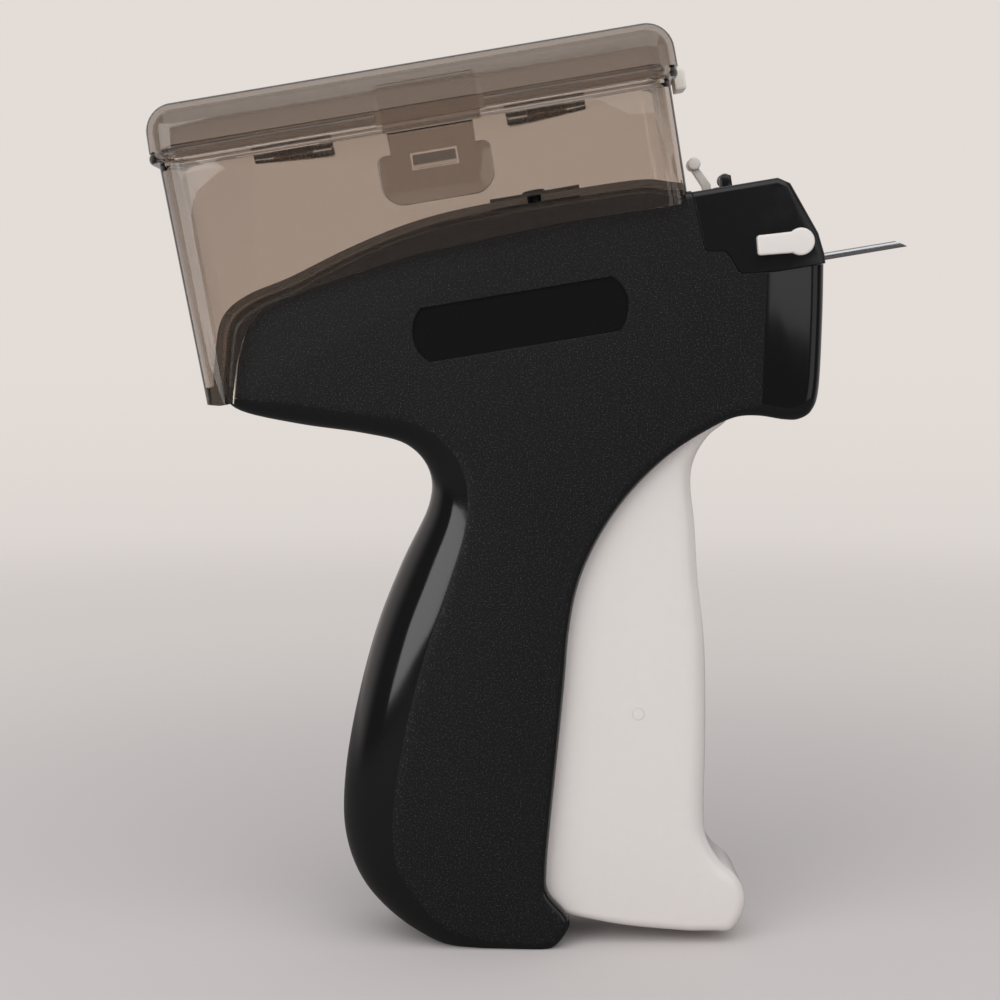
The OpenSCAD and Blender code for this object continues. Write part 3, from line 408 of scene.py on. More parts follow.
def arc(centre, r, start, end, steps):
    """Points of an arc, angles in degrees."""
    turns = [radians(start + (end - start) * i / steps) for i in range(steps + 1)]
    return [(centre[0] + r * cos(a), centre[1] + r * sin(a)) for a in turns]


def disc(centre, r, steps=48):
    """The points of a circle."""
    return arc(centre, r, 0, 360 * (1 - 1 / steps), steps - 1)


def bar_x(y, z, r, x0, x1, steps=24):
    """A round bar or bore along X."""
    ring = disc((y, z), r, steps)
    return skin_rings([[(x0, a, b) for a, b in ring], [(x1, a, b) for a, b in ring]])


def bar_z(x, y, r, z0, z1, steps=32):
    """A round bar or bore along Z."""
    ring = disc((x, y), r, steps)
    return skin_rings([[(a, b, z0) for a, b in ring], [(a, b, z1) for a, b in ring]])


def plan(grow, z, ends=(0.0, 0.0), corner=TRAY_CORNER, steps=10):
    """One ring of the case's rounded rectangle at height z, grown outwards, and by ends at rear and front."""
    r = max(corner + grow, 0.4)
    x0, x1, w = TRAY_X[0] - grow - ends[0] + r, TRAY_X[1] + grow + ends[1] - r, TRAY_HALF + grow - r
    ring = []
    for cx, cy, start in ((x1, w, 0), (x0, w, 90), (x0, -w, 180), (x1, -w, 270)):
        ring += arc((cx, cy), r, start, start + 90, steps)
    return [(x, y, z) for x, y in ring]


def tray_plan(grow, z):
    """A ring of the tray, whose rear wall leans."""
    return plan(grow, z, ((z - RIM) * TRAY_DRAFT, 0.0))


def soften(bm, width, chosen, segments=3):
    """Rounds the edges that chosen picks by their two end points."""
    edges = [e for e in bm.edges if chosen(e.verts[0].co, e.verts[1].co)]
    bmesh.ops.bevel(bm, geom=edges, offset=width, segments=segments, profile=0.5, affect="EDGES",
                    clamp_overlap=True)
    return bm


def edge_at(y):
    """Picks the edges that lie at y."""
    return lambda a, b: abs(a.y - y) < SAME and abs(b.y - y) < SAME


def linked(name, data):
    """A new object of the scene with that data."""
    obj = bpy.data.objects.new(name, data)
    bpy.context.scene.collection.objects.link(obj)
    return obj


def discard(obj):
    """Removes an object and its mesh."""
    mesh = obj.data
    bpy.data.objects.remove(obj)
    bpy.data.meshes.remove(mesh)


def as_object(bm, name):
    """A bmesh made into an object of the scene."""
    mesh = bpy.data.meshes.new(name)
    bm.to_mesh(mesh)
    bm.free()
    return linked(name, mesh)


def points_object(name, points, edges=()):
    """Bare points of the tool, stood up, with edges between them."""
    mesh = bpy.data.meshes.new(name)
    mesh.from_pydata([STAND @ Vector(p) for p in points], edges, [])
    return linked(name, mesh)


def carve(bm, *tools, by="DIFFERENCE"):
    """bm less, with, or only inside other meshes, one after another."""
    for tool in tools:
        part, other = as_object(bm, "part"), as_object(tool, "tool")
        step = part.modifiers.new("carve", "BOOLEAN")
        step.operation, step.object, step.solver = by, other, "EXACT"
        graph = bpy.context.evaluated_depsgraph_get()
        bm = bmesh.new()
        bm.from_object(part, graph)
        discard(part)
        discard(other)
        bmesh.ops.remove_doubles(bm, verts=bm.verts, dist=SAME)
    return bm


def place(bm, name, body, nodes, material, crease=28):
    """Stands the mesh up as a finished piece that rides on a body and stands for CAD nodes."""
    bm.transform(STAND)
    bmesh.ops.recalc_face_normals(bm, faces=bm.faces)
    dress(as_object(bm, name), body, nodes, material, crease)


def dress(obj, body, nodes, material, crease=28):
    """Gives a piece its finish, its smooth shading and, with a body, its place in the frame."""
    obj.data.materials.clear()
    obj.data.materials.append(finish_of(material))
    obj.data.shade_smooth()
    obj.data.set_sharp_from_angle(angle=radians(crease))
    if body:
        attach(obj, body)
    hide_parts(*nodes)


def below_floor():
    """What the butt's flat cuts away."""
    bm = box((-200, -40, -60), (200, 40, 0))
    bm.transform(Matrix.Scale(MM, 4))
    bm.transform(STAND.inverted())
    return bm


# ---- settings shown in the panel ----

def number(name, description, default, low, high, kind=FloatProperty):
    """A number of the panel."""
    return kind(name=name, description=description, default=default, min=low, max=high)


def tint(name, description, default):
    """A colour of the panel, from its sRGB hex string."""
    return FloatVectorProperty(name=name, description=description, subtype="COLOR", size=3,
                               default=linear(default)[:3], min=0, max=1)


class TagAttacherSizes(bpy.types.PropertyGroup):
    """Sizes of the tool's visible pieces, in millimetres."""
    half_width: number("Half width", "Half the width of the body", 13.5, 12, 16)
    body_steps: number("Outline steps", "Points between two stations of an outline", 6, 2, 10, IntProperty)
    label_depth: number("Label depth", "Depth of the bare label panels", 0.4, 0.1, 1)
    trigger_half: number("Trigger half width", "Half the width of the trigger", 10.0, 8, 10.3)
    trigger_wall: number("Trigger wall", "Wall of the trigger channel", 1.9, 1, 3)
    needle_out: number("Needle length", "Length of the needle outside the nose", 15.8, 10, 24)
    lid_height: number("Lid height", "Height of the case's lid above the seam", 11.1, 9, 11.1)
    return_turns: number("Return spring turns", "Coils in the trigger's return spring", 20, 10, 24)


class TagAttacherFinish(bpy.types.PropertyGroup):
    """Colours and grain of the tool's plastics."""
    black: tint("Black", "Colour of the body", "161617")
    white: tint("White", "Colour of the trigger and the small levers", "dcd7d3")
    smoke: tint("Smoke", "Tint of the case's plastic", "ddd4cc")
    grain: number("Grain", "Width of one grain of the body's surface, in millimetres", 0.3, 0.1, 1)


class TagAttacherStage(bpy.types.PropertyGroup):
    """Camera, floor and light."""
    lens: number("Lens", "Focal length", 63, 20, 200)
    backdrop: tint("Backdrop", "Colour of the backdrop", "e3dcd7")
    floor: tint("Floor", "Colour of the floor under the tool", "cbc5c4")


# ---- the pieces ----

class TAGATTACHER_OT_body(bpy.types.Operator):
    """Builds the two halves of the body, with the trigger's slot, the bare panels and the screw seats"""
    bl_idname = "tag_attacher.body"
    bl_label = "Body halves"

    def execute(self, context):
        sizes = context.scene.tag_attacher_sizes
        half = sizes.half_width
        outline = loop_of(REAR_LINE, FRONT_LINE, sizes.body_steps)
        directions = inward(outline, 2 * sizes.body_steps // 3)

        def flat(inset):
            return [(x + dx * inset, 0, z + dz * inset) for (x, z, _), (dx, dz) in zip(outline, directions)]

        shell = skin_rings([edge_ring(outline, directions, half, WALL, f) for f in (90, 60, 30, 0)]
                           + [flat(WALL), flat(0)]
                           + [edge_ring(outline, directions, half, 0, f) for f in range(0, 91, 9)])

        # opening for the trigger: behind the front line, inside the arc that the trigger's end sweeps
        line = [(x - WALL - 1.6, z + (3 if i < 12 else 0))
                for i, (x, z, _) in enumerate(FRONT_LINE) if 7 <= i <= 19]
        opening = prism(line + [(-60, -140), (0, -140), (-14, -60), (-21.2, -36), (-22, -24.5)],
                        -sizes.trigger_half - 0.5, 1)
        opening = carve(opening, prism(disc(PIVOT, BOTTOM_R + 0.7, 180), -20, 20), by="INTERSECT")
        # the bare label panel, and the clips' way out under the nose
        label = arc((-48.2, -2.6), 6.9, -50.2, 50.2, 16) + arc((-76.4, -2.6), 6.9, 129.8, 230.2, 16)
        shell = carve(shell, opening, prism(NOSE_SEAM, -20, 1),
                      prism(label, -half - 1, -half + sizes.label_depth),
                      box((-20, -2.1, -34), (-10.6, 0.9, -18)))
        # the nose's front turns in
        bmesh.ops.bisect_plane(shell, geom=shell.verts[:] + shell.edges[:] + shell.faces[:],
                               plane_co=(NOSE_LINE, 0, 0), plane_no=(1, 0, -NOSE_SLOPE))
        for vert in shell.verts:
            ahead = vert.co.x - NOSE_SLOPE * vert.co.z - NOSE_LINE
            if ahead > 0:
                vert.co.y *= 1 - NOSE_TURN * ahead / half
        shell = carve(shell, below_floor(), prism(disc(PIVOT, 1.52), -half + 0.9, 1))

        other = shell.copy()
        bmesh.ops.scale(other, vec=(1, -1, 1), verts=other.verts)
        bmesh.ops.reverse_faces(other, faces=other.faces)
        other = carve(other, *(prism(disc(boss, 2.8), half - 2.6, half + 1) for boss in BOSSES))
        place(shell, "body_half_near", "body", ["housing_right"], "grained", 30)
        place(other, "body_half_far", "body", ["housing_left"], "grained", 30)
        return {"FINISHED"}


class TAGATTACHER_OT_nose(bpy.types.Operator):
    """Builds the polished nose cover with the clips' slot and the spring's post"""
    bl_idname = "tag_attacher.nose"
    bl_label = "Nose cover"

    def execute(self, context):
        half = context.scene.tag_attacher_sizes.half_width
        front = [(-3.0, -1.5), (-2.9, 0), (-3.5, 4.4), (-7.4, 14.6), (-9.6, 16)]
        cover = prism([(-26.2, 16), (-26.1, 14.8), (-25.4, 5.0), (-24.7, 4.4), (-21.5, 3.9), (-20.8, 2.7),
                       (-19.7, -0.1), (-19.1, -0.8), (-12.9, -1.4)] + front, -half, half)

        def outer_edge(a, b):
            ends = {(round(p.x, 2), round(p.z, 2)) for p in (a, b)}
            on_side = abs(abs(a.y) - half) < SAME and abs(a.y - b.y) < SAME
            return on_side and (ends <= set(front) or min(a.z, b.z) > 15.9)

        soften(cover, 2.4, outer_edge, 7)
        soften(cover, 0.5,
               lambda a, b: abs(a.y - b.y) > 5 and abs(a.x - b.x) < SAME and a.x > -9.7 and a.z > 4)
        inside = prism([(-30, -8), (-30, 13.8), (-10.5, 13.8), (-9.2, 12.9), (-5.7, 4), (-5.1, 0),
                        (-5.2, -8)], -half + WALL, half - WALL)
        # the slot for clips, the needle's way and the lock lever's bore
        cover = carve(cover, inside, box((-25.2, -1.8, 13), (-10.2, 1.8, 17)), bar_x(0, 0, 1.05, -7, 0),
                      prism(disc(LOCK, 1.65), -half - 1, 0))
        post_x = SPRING_POST[0]
        arm = soften(box((post_x - 1.1, -7.4, 15.8), (post_x + 1.1, -6.6, 18.4)), 0.25,
                     lambda a, b: max(a.z, b.z) > 16, 2)
        cover = carve(cover, arm, prism(disc(SPRING_POST, 0.7, 24), -7, -2.4), by="UNION")
        place(cover, "nose_cover_shell", "body", ["nose_cover"], "gloss_black", 40)
        return {"FINISHED"}


class TAGATTACHER_OT_trigger(bpy.types.Operator):
    """Builds the white trigger: a smooth channel with a hooked toe"""
    bl_idname = "tag_attacher.trigger"
    bl_label = "Trigger"

    def execute(self, context):
        sizes = context.scene.tag_attacher_sizes
        steps, half, wall = sizes.body_steps, sizes.trigger_half, sizes.trigger_wall
        outline = loop_of(TRIGGER_REAR, TRIGGER_FRONT, steps)
        directions = inward(outline, 2 * steps // 3)
        near = [edge_ring(outline, directions, half, 0, f) for f in range(0, 91, 9)]
        far = [[(x, -y, z) for x, y, z in ring] for ring in near]
        channel = []
        for i, ((x, z, _), (dx, dz)) in enumerate(zip(outline, directions)):
            s = -5 if 4 * steps < i < 14 * steps else wall
            channel.append((x + dx * s, z + dz * s))
        # the cross pin's ends lie under a thin skin, with a faint ring on the outside
        skin = 0.13
        cuts = [prism(channel, -half + wall, half - wall), prism(disc(PIVOT, 1.55), -half - 1, half + 1),
                prism(disc(CROSSPIN, 1.22), -half + skin, half - skin)]
        for side in (-1, 1):
            ring = prism(disc(CROSSPIN, 1.25), side * half - 0.05, side * half + 0.05)
            cuts.append(carve(ring, prism(disc(CROSSPIN, 1.1), -half - 1, half + 1)))
        body = carve(skin_rings(far[::-1] + near), *cuts)
        place(body, "trigger_moulding", "trigger", ["trigger"], "white", 30)
        return {"FINISHED"}


class TAGATTACHER_OT_small_levers(bpy.types.Operator):
    """Builds the needle's lock lever, the clip lever and the lid's thumb lug"""
    bl_idname = "tag_attacher.small_levers"
    bl_label = "Small white levers"

    def execute(self, context):
        half = context.scene.tag_attacher_sizes.half_width
        # lock lever: a round head with a flat, square-ended arm that leans a little
        face, back, head_r = -half - 1.7, -half - 0.2, 2.6
        open_angle = degrees(asin(2.0 / head_r))
        shape = (arc((0, 0), head_r, -180 + open_angle, 180 - open_angle, 40)
                 + arc((-7.75, 1.35), 0.55, 90, 180, 6) + arc((-7.75, -1.35), 0.55, 180, 270, 6))
        c, s = cos(radians(-4)), sin(radians(-4))
        outline = [(LOCK[0] + x * c - z * s, LOCK[1] + x * s + z * c) for x, z in shape]
        lever = soften(prism(outline, face, back), 0.4, edge_at(face), 4)
        lever = carve(lever, prism(disc(LOCK, 1.6, 40), back - 0.05, -4.3), by="UNION")
        place(lever, "lock_lever", "lock_lever", ["needle_lock_lever"], "white", 35)

        # clip lever: a finger head on a bent leg, and a tail that presses on the clip
        px, pz = CLIP_PIVOT
        hx, hz = CLIP_HEAD
        leg = prism([(px - 1.3, pz + 0.9), (px - 1.6, pz), (-25.4, 5.6), (-24.6, 4.6), (-20.6, 4.5),
                     (-20.6, 5.4), (-23, 6.6), (px + 1.5, pz), (px + 1.4, pz + 0.6), (-21.1, 15.6),
                     (-20.9, 17.5), (hx + 0.7, hz - 0.6), (hx - 0.9, hz - 0.4), (-22.6, 17.5),
                     (-22.5, 16.2)], -1, 1)
        grip = soften(prism(disc(CLIP_HEAD, 1.25, 40), -2.2, 2.2), 0.35,
                      lambda a, b: abs(abs(a.y) - 2.2) < SAME and abs(a.y - b.y) < SAME)
        clip = carve(leg, grip, prism(disc(CLIP_PIVOT, 1.7, 40), -1, 1), by="UNION")
        clip = carve(clip, prism(disc(CLIP_PIVOT, 0.85, 32), -3, 3))
        place(clip, "clip_release_lever", "clip_lever", ["clip_lever"], "white", 35)

        # thumb lug on the front of the lid
        x = TRAY_X[1] + 1.95
        lug = soften(box((x, -3, RIM - 1.2), (x + 2.2, 3, RIM + 3)), 0.6,
                     lambda a, b: a.x > x + 1 or b.x > x + 1, 4)
        place(lug, "thumb_lug", "lid", ["lid_thumb_lug"], "milky", 35)
        return {"FINISHED"}


class TAGATTACHER_OT_needle(bpy.types.Operator):
    """Builds the slotted needle with its slanted point"""
    bl_idname = "tag_attacher.needle"
    bl_label = "Needle"

    def execute(self, context):
        length = context.scene.tag_attacher_sizes.needle_out
        outer, inner, slit = 0.75, 0.55, 0.25
        open_outer = degrees(asin(slit / outer))
        open_inner = degrees(asin(slit / inner))
        # the slot looks towards the near side, -Y
        ring = (arc((0, 0), outer, -90 + open_outer, 270 - open_outer, 48)
                + arc((0, 0), inner, 270 - open_inner, -90 + open_inner, 40))
        tube = skin_rings([[(x, y, z) for y, z in ring] for x in (-8.6, length)])
        # the point is ground back from the top
        point = prism([(length + 1, 3), (length + 1, -1.4), (length + 0.02, -0.75), (length - 2.4, 0.76),
                       (length - 6, 3)], -3, 3)
        place(carve(tube, point), "slotted_needle", "body", ["needle"], "needle", 30)
        return {"FINISHED"}


class TAGATTACHER_OT_case(bpy.types.Operator):
    """Builds the smoky case: its tray over the body's back and its lid"""
    bl_idname = "tag_attacher.case"
    bl_label = "Storage case"

    def knuckles(self, part, r):
        """Bars for one part's knuckles of the two hinges."""
        quarter, gap = HINGE_LEN / 4, 0.1
        bars = []
        for middle in HINGE_MIDDLES:
            if part == "lid":
                spans = [(middle - quarter + gap, middle + quarter - gap)]
            else:
                spans = [(middle - HINGE_LEN / 2, middle - quarter - gap),
                         (middle + quarter + gap, middle + HINGE_LEN / 2)]
            bars += [bar_x(HINGE_Y, HINGE_Z, r, x0, x1) for x0, x1 in spans]
        return bars

    def build_tray(self):
        steps = 6  # points between two stations of the body's outline
        outline = loop_of(REAR_LINE, FRONT_LINE, steps)
        directions = inward(outline, 4)

        def off(d, first, last):
            """The body's top, moved outwards by d, between two stations."""
            return [(outline[i][0] - directions[i][0] * d, outline[i][1] - directions[i][1] * d)
                    for i in range(steps * first, steps * last + 1)]

        tray = skin_rings([tray_plan(0, -15), tray_plan(0, RIM - 0.35), plan(-0.1, RIM - 0.1),
                           plan(-0.35, RIM), plan(-0.95, RIM), plan(-0.95, RIM + 2.6),
                           plan(-1.25, RIM + 2.9)])
        side = [(-126.5, 50), (-26, 50), (-26, 13.9)] + SKIRT + [(-121.6, -9.4), (-126.5, -8.4)]
        tray = carve(tray, prism(side, -40, 40), by="INTERSECT")
        inside = skin_rings([tray_plan(-TRAY_WALL, -15), tray_plan(-TRAY_WALL, RIM - 1.6),
                             tray_plan(-RIM_WALL, RIM - 0.8), tray_plan(-RIM_WALL, 55)])
        room = prism([(TRAY_X[0], 60), (TRAY_X[1], 60)] + off(1.3, 5, 15)
                     + [(-121.7, -2.9), (-122.1, -5.6), (TRAY_X[0], -5.6)], -40, 40)
        saddle = prism([(0, -30), (0, 16.4)] + off(0.1, 5, 17) + [(-119, -30)], -13.75, 13.75)
        tray = carve(tray, carve(inside, room, by="INTERSECT"), saddle)
        # the latch's catch, the snap ribs at the rim and the hinges' seats
        catch_y = FLAP_Y - FLAP_T - 0.2
        catch = [(-15.8, 31.1), (-16, 31.1), (catch_y, 29), (catch_y, 28.4), (-15.8, 28.4)]
        added = [skin_rings([[(x, y, z) for y, z in catch] for x in (LATCH_X - 4.1, LATCH_X + 4.1)])]
        for middle in HINGE_MIDDLES:
            added.append(box((middle - 8, -15.25, RIM + 0.9), (middle + 8, -14.2, RIM + 2.0)))
            for x0, x1 in ((middle - 8, middle - 4.1), (middle + 4.1, middle + 8)):
                added.append(box((x0, 15.8, HINGE_Z - 1.7), (x1, HINGE_Y, HINGE_Z - 0.4)))
        return carve(tray, *added, *self.knuckles("tray", KNUCKLE_R), by="UNION")

    def build_lid(self, height):
        low, foot, wall = RIM + 0.1, RIM + 1.6, 0.6
        top = low + height

        def dome(grow, r, f):
            """A ring of the lid's rounded top edge."""
            turn = radians(f)
            return plan(grow - r * (1 - cos(turn)), top - 5.5 + r * sin(turn), LID_OVER, LID_CORNER)

        inner = [plan(-wall, low), plan(-wall, foot - 0.05), plan(-wall, foot + 0.05, LID_OVER, LID_CORNER)]
        inner += [dome(-wall, 4.3, f) for f in range(0, 91, 10)]
        outer = [dome(wall, 5.5, f) for f in range(90, -1, -9)]
        # the bead round the rim has a rounded section
        bead = [plan(0.62, low + 2.1, LID_OVER)]
        for f in range(0, 181, 20):
            turn = radians(f)
            bead.append(plan(1.1 + 0.6 * sin(turn), low + 0.95 + 0.95 * cos(turn)))
        lid = skin_rings(inner[::-1] + [plan(0.2, low)] + bead[::-1] + outer[::-1])
        # the strip that carries the latch, slit on both sides
        strip = soften(box((-82.15, FLAP_Y - FLAP_T, LATCH_HINGE + 0.8), (-63.55, FLAP_Y + 0.8, 44.8)), 0.5,
                       lambda a, b: min(a.y, b.y) < FLAP_Y - 1 and min(a.z, b.z) > 40)
        lid = carve(lid, strip, by="UNION")
        lid = carve(lid, *(box((x - 0.55, -19, 32.6), (x + 0.55, -15.7, 44)) for x in (-82.7, -63.0)))
        lid = carve(lid, *self.knuckles("lid", KNUCKLE_R), by="UNION")
        return carve(lid, *self.knuckles("tray", KNUCKLE_R + 0.3))

    def execute(self, context):
        place(self.build_tray(), "smoky_tray", "body", ["case_tray"], "smoke", 25)
        lid = self.build_lid(context.scene.tag_attacher_sizes.lid_height)
        # the lid's plastic is painted darker: painted shade
        place(lid, "smoky_lid", "lid", ["case_lid"], "lid_smoke_painted_darker", 25)
        return {"FINISHED"}


class TAGATTACHER_OT_latch(bpy.types.Operator):
    """Builds the lid's latch flap with its window"""
    bl_idname = "tag_attacher.latch"
    bl_label = "Latch flap"

    def execute(self, context):
        half, low, high = 10.8, LATCH_HINGE - LATCH_DROP, LATCH_HINGE - 3.4
        left, right = LATCH_X - half, LATCH_X + half
        neck = (-81.5, -65.2)
        big, small = 4.3, 1.6
        outline = (arc((left + big, low + big), big, 180, 270, 10)
                   + arc((right - big, low + big), big, 270, 360, 10)
                   + arc((right - small, high - small), small, 0, 90, 6)
                   + [(neck[1], high), (neck[1], LATCH_HINGE), (neck[0], LATCH_HINGE), (neck[0], high)]
                   + arc((left + small, high - small), small, 90, 180, 6))
        flap = soften(prism(outline, FLAP_Y - FLAP_T, FLAP_Y), 0.35,
                      lambda a, b: abs(a.y - b.y) < SAME and min(a.z, b.z) < LATCH_HINGE - 0.1)
        flap = carve(flap, bar_x(FLAP_Y - FLAP_T / 2, LATCH_HINGE, FLAP_T / 2, *neck), by="UNION")
        flap = carve(flap, box((LATCH_X - 4.45, -30, 28.1), (LATCH_X + 4.45, -10, 31.4)))
        # the latch has the lid's plastic, painted darker: painted shade
        place(flap, "latch_flap", "latch", ["case_latch"], "lid_smoke_painted_darker", 30)
        return {"FINISHED"}


def nodes_tree(name, label, kind):
    """An empty geometry tree, and its inputs: a mesh, one other value and a material."""
    tree = bpy.data.node_groups.new(name, "GeometryNodeTree")
    tree.interface.new_socket("Geometry", in_out="OUTPUT", socket_type="NodeSocketGeometry")
    for title, socket in (("Geometry", "Geometry"), (label, kind), ("Material", "Material")):
        tree.interface.new_socket(title, in_out="INPUT", socket_type="NodeSocket" + socket)
    return tree, add(tree, "NodeGroupInput").outputs


def painted(tree, start, geometry):
    """Ends a geometry tree: real geometry in the material of its input."""
    real = add(tree, "RealizeInstances", [geometry])
    paint = add(tree, "SetMaterial", {"Geometry": real, "Material": start["Material"]})
    add(tree, "NodeGroupOutput", [paint])


def grown(base, tree, values, name):
    """The plain mesh that a geometry tree makes from a base mesh and its input values."""
    step = base.modifiers.new("pattern", "NODES")
    step.node_group = tree
    for item in tree.interface.items_tree:
        if item.item_type == "SOCKET" and item.in_out == "INPUT" and item.name in values:
            step[item.identifier] = values[item.name]
    graph = bpy.context.evaluated_depsgraph_get()
    mesh = bpy.data.meshes.new_from_object(base.evaluated_get(graph), depsgraph=graph)
    discard(base)
    return linked(name, mesh)


class TAGATTACHER_OT_springs(bpy.types.Operator):
    """Builds the return spring in the barrel and the small spring of the clip lever as wire along a path"""
    bl_idname = "tag_attacher.springs"
    bl_label = "Springs"

    def execute(self, context):
        tree, start = nodes_tree("wire_on_a_path", "Wire radius", "Float")
        path = add(tree, "MeshToCurve", [start["Geometry"]])
        section = add(tree, "CurvePrimitiveCircle",
                      {"Resolution": 12, "Radius": start["Wire radius"]}, mode="RADIUS")
        wire = add(tree, "CurveToMesh",
                   {"Curve": path, "Profile Curve": section, "Fill Caps": True})
        painted(tree, start, wire)
        # the return spring, from the carriage's face to the nose
        back, front, coil_r, per_turn = -72.2, -21.6, 2, 24
        count = int(context.scene.tag_attacher_sizes.return_turns * per_turn)
        coil = [(back + (front - back) * k / count, coil_r * cos(2 * pi * k / per_turn),
                 coil_r * sin(2 * pi * k / per_turn)) for k in range(count + 1)]
        # the clip lever's spring: a leg, 3 3/4 turns about the post and a second leg
        (cx, cz), r = SPRING_POST, 1.1
        small = [(cx + x, y, cz - r) for x, y in ((-2, 1), (-2, -2), (-1.9, -2.5), (-1.5, -2.8))]
        for k in range(91):
            a = radians(270 + k * 15)
            small.append((cx + r * cos(a), -2.9 - 0.85 * k / per_turn, cz + r * sin(a)))
        small.append((cx - r, small[-1][1], 16.1))
        made = []
        for name, node, body, points, radius in (
                ("return_spring_wire", "return_spring", "body", coil, 0.3),
                ("clip_spring_wire", "clip_lever_spring", None, small, 0.2)):
            base = points_object(name, points, [(i, i + 1) for i in range(len(points) - 1)])
            obj = grown(base, tree, {"Wire radius": radius * MM, "Material": finish_of("wire")}, name)
            dress(obj, body, [node], "wire", 40)
            made.append(obj)
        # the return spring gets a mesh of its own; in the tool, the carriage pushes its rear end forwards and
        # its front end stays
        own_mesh(made[0])
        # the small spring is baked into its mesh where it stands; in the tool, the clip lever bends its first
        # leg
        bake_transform(made[1])
        return {"FINISHED"}


class TAGATTACHER_OT_screws(bpy.types.Operator):
    """Builds the cross-recessed screws of the body and the slotted ones of the case's clamp"""
    bl_idname = "tag_attacher.screws"
    bl_label = "Screws"

    def execute(self, context):
        tree, start = nodes_tree("screws_on_points", "Screw", "Object")
        screw = add(tree, "ObjectInfo", [start["Screw"]])
        spread = add(tree, "InstanceOnPoints",
                     {"Points": start["Geometry"], "Instance": screw.outputs["Geometry"]})
        painted(tree, start, spread)
        half = context.scene.tag_attacher_sizes.half_width
        top = half - 0.7
        pan = soften(prism(disc((0, 0), 2.5, 40), half - 2.5, top), 0.5, edge_at(top), 4)
        pan = carve(pan, prism(disc((0, 0), 1.3, 32), -half + WALL + 1.2, half - 2.4), by="UNION")
        for turn in (20, 110):
            bit = box((-1.7, half - 1.5, -0.35), (1.7, half, 0.35))
            bit.transform(Matrix.Rotation(radians(turn), 4, "Y"))
            pan = carve(pan, bit)
        cap = bar_z(0, 0, 2.2, 20.9, 21.6, 40)
        soften(cap, 0.3, lambda a, b: a.z > 21.55 and b.z > 21.55)
        cap = carve(cap, bar_z(0, 0, 1.2, 10, 21), by="UNION")
        cap = carve(cap, box((-2.5, -0.3, 21.25), (2.5, 0.3, 23)))
        for name, node, bm, points, finish in (
                ("body_screw_set", "housing_screws", pan, [(x, 0, z) for x, z in BOSSES], "steel"),
                ("clamp_screw_set", "clamp_screws", cap, [(-55.8, -6.5, 0), (-55.8, 6.5, 0)],
                 "black_steel")):
            bm.transform(STAND.to_3x3().to_4x4())
            single = as_object(bm, "one_screw")
            obj = grown(points_object(name, points), tree,
                        {"Screw": single, "Material": finish_of(finish)}, name)
            discard(single)
            dress(obj, "body", [node], finish, 35)
        return {"FINISHED"}


class TAGATTACHER_OT_works(bpy.types.Operator):
    """Gives the pieces inside, which keep the frame's own shapes, their real materials"""
    bl_idname = "tag_attacher.works"
    bl_label = "Works inside"

    def execute(self, context):
        for finish, names in WORKS.items():
            for name in names:
                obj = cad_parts[name]
                obj.data.materials.clear()
                obj.data.materials.append(finish_of(finish))
        return {"FINISHED"}


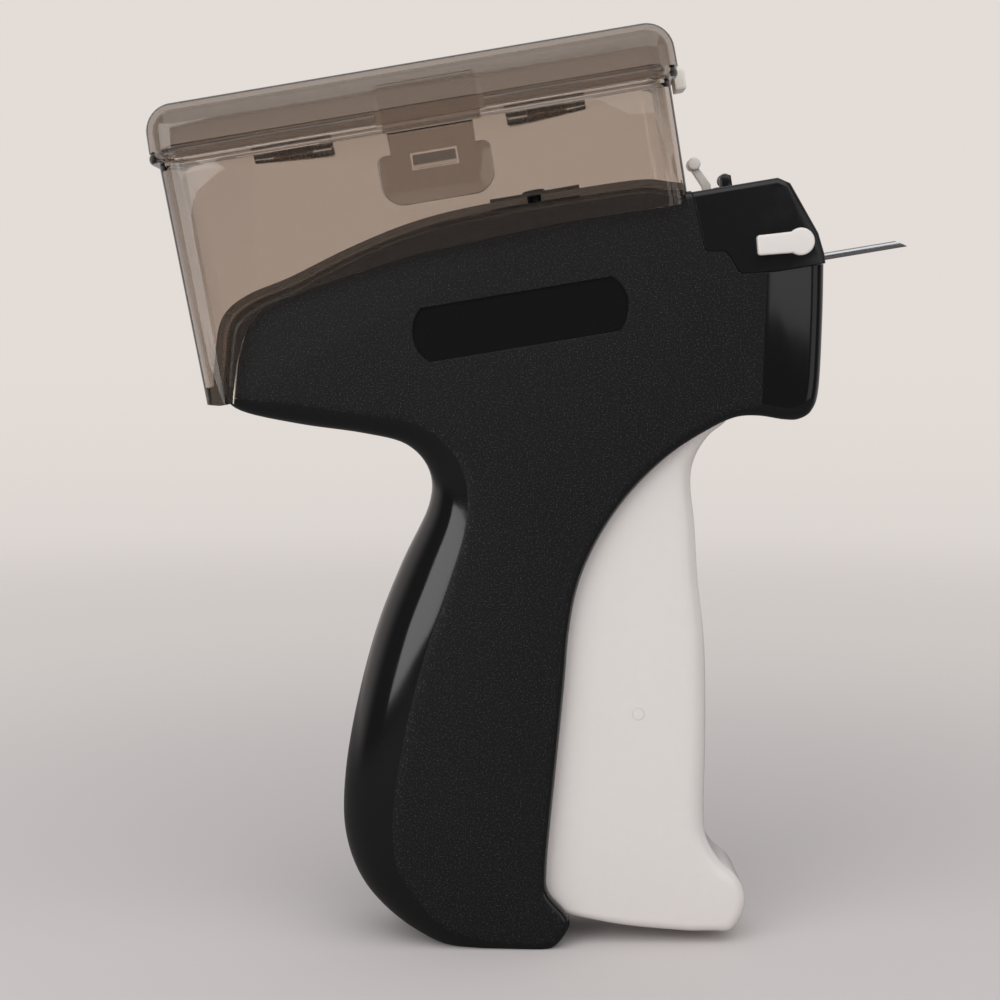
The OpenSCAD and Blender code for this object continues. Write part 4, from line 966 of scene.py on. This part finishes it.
class TAGATTACHER_OT_stage(bpy.types.Operator):
    """Sets the camera, the paper floor, the pale air behind it and the soft lamps"""
    bl_idname = "tag_attacher.stage"
    bl_label = "Stage"

    def paper(self, look):
        """Pale paper: it takes the tool's shadow near the middle, where it is also painted darker as painted
        shade, and fades into the air further out.
        """
        material, tree, spot = new_material("pale_paper_floor")
        away = add(tree, "VectorMath", [spot], operation="LENGTH")
        # painted shade: the paper is painted in the darker floor colour near the middle and turns to the
        # paler backdrop colour further out
        near = add(tree, "MapRange", [away, 0.1, 0.42], interpolation_type="SMOOTHSTEP")
        tone = add(tree, "Mix",
                   {"Factor": near, "A": shaded(look.floor), "B": shaded(look.backdrop)}, data_type="RGBA")
        # the dark side of the room is what polished plastic mirrors, not the lit paper
        ray = add(tree, "LightPath")
        seen = add(tree, "Mix",
                   {"Factor": ray.outputs["Is Glossy Ray"], "A": tone,
                    "B": linear("6a6866")}, data_type="RGBA")
        paper = add(tree, "BsdfDiffuse", [seen])
        fade = add(tree, "MapRange", [away, 0.18, 0.8], interpolation_type="SMOOTHSTEP")
        mix = add(tree, "MixShader", [fade, paper, add(tree, "BsdfTransparent")])
        add(tree, "OutputMaterial", [mix])
        return material

    def air(self, look):
        """The world: a soft fill. Polished faces mirror a pale backdrop behind the tool and a dark room
        before it."""
        world = bpy.data.worlds.new("studio_air")
        world.use_nodes = True
        tree = world.node_tree
        tree.nodes.clear()
        way = add(tree, "TexCoord").outputs["Generated"]
        split = add(tree, "SeparateXYZ", [way]).outputs
        ray = add(tree, "LightPath").outputs
        seen = add(tree, "Math", [ray["Is Camera Ray"], ray["Is Transmission Ray"]],
                   operation="MAXIMUM")
        rise = add(tree, "MapRange", [split["Z"], -0.3, 0.0], interpolation_type="SMOOTHSTEP")
        depth = add(tree, "MapRange", [split["Y"], 0.0, 0.5], interpolation_type="SMOOTHSTEP")
        pale = add(tree, "Mix",
                   {"Factor": rise, "A": linear("c9c3c2"), "B": shaded(look.backdrop)}, data_type="RGBA")
        room = add(tree, "Mix",
                   {"Factor": depth, "A": linear("3c3c3e"), "B": linear("bcb6b3")}, data_type="RGBA")
        lit = add(tree, "Mix", {"Factor": ray["Is Glossy Ray"], "A": linear("c4c4c6"),
                                          "B": room}, data_type="RGBA")
        colour = add(tree, "Mix", {"Factor": seen, "A": lit,
                                             "B": pale}, data_type="RGBA")
        glow = add(tree, "Background", {"Color": colour, "Strength": 1.0})
        add(tree, "OutputWorld", [glow])
        return world

    def execute(self, context):
        scene, look = context.scene, context.scene.tag_attacher_stage
        sheet = bmesh.new()
        sheet.faces.new([sheet.verts.new((x, y, 0)) for x, y in disc((0, 0), 3.0, 96)])
        floor = as_object(sheet, "paper_floor")
        floor.data.materials.append(self.paper(look))
        scene.world = self.air(look)
        for name, at, size, power in LAMPS:
            data = bpy.data.lights.new(name, "AREA")
            data.shape, data.size, data.size_y, data.energy = "RECTANGLE", size[0], size[1], power
            lamp = linked(name, data)
            lamp.location = at
            lamp.rotation_euler = (LAMP_AIM - Vector(at)).to_track_quat("-Z", "Y").to_euler()

        data = bpy.data.cameras.new("product_camera")
        data.lens, data.sensor_width = look.lens, 36
        camera = linked("product_camera", data)
        camera.location = CAMERA_AT
        camera.rotation_euler = (radians(90 - CAMERA_DOWN), 0, 0)
        scene.camera = camera
        scene.view_settings.view_transform = "Standard"
        return {"FINISHED"}


STEPS = (TAGATTACHER_OT_stage, TAGATTACHER_OT_body, TAGATTACHER_OT_nose, TAGATTACHER_OT_trigger,
         TAGATTACHER_OT_small_levers, TAGATTACHER_OT_needle, TAGATTACHER_OT_case, TAGATTACHER_OT_latch,
         TAGATTACHER_OT_springs, TAGATTACHER_OT_screws, TAGATTACHER_OT_works)
GROUPS = {"tag_attacher_sizes": TagAttacherSizes, "tag_attacher_finish": TagAttacherFinish,
          "tag_attacher_stage": TagAttacherStage}


class TAGATTACHER_PT_panel(bpy.types.Panel):
    """Lists the tool's pieces, sizes and colours"""
    bl_label = "Garment Tag Attacher"
    bl_idname = "TAGATTACHER_PT_panel"
    bl_space_type = "VIEW_3D"
    bl_region_type = "UI"
    bl_category = "Tag Attacher"

    def draw(self, context):
        for attribute, group in GROUPS.items():
            column = self.layout.column(align=True)
            for prop in group.__annotations__:
                column.prop(getattr(context.scene, attribute), prop)
        column = self.layout.column(align=True)
        for step in STEPS:
            column.operator(step.bl_idname)


def register():
    for cls in (*GROUPS.values(), *STEPS, TAGATTACHER_PT_panel):
        bpy.utils.register_class(cls)
    for attribute, group in GROUPS.items():
        setattr(bpy.types.Scene, attribute, PointerProperty(type=group))


def unregister():
    for attribute in GROUPS:
        delattr(bpy.types.Scene, attribute)
    for cls in (TAGATTACHER_PT_panel, *STEPS[::-1], *list(GROUPS.values())[::-1]):
        bpy.utils.unregister_class(cls)


def main():
    register()
    for step in STEPS:
        family, name = step.bl_idname.split(".")
        getattr(getattr(bpy.ops, family), name)()


if __name__ == "__main__":
    main()
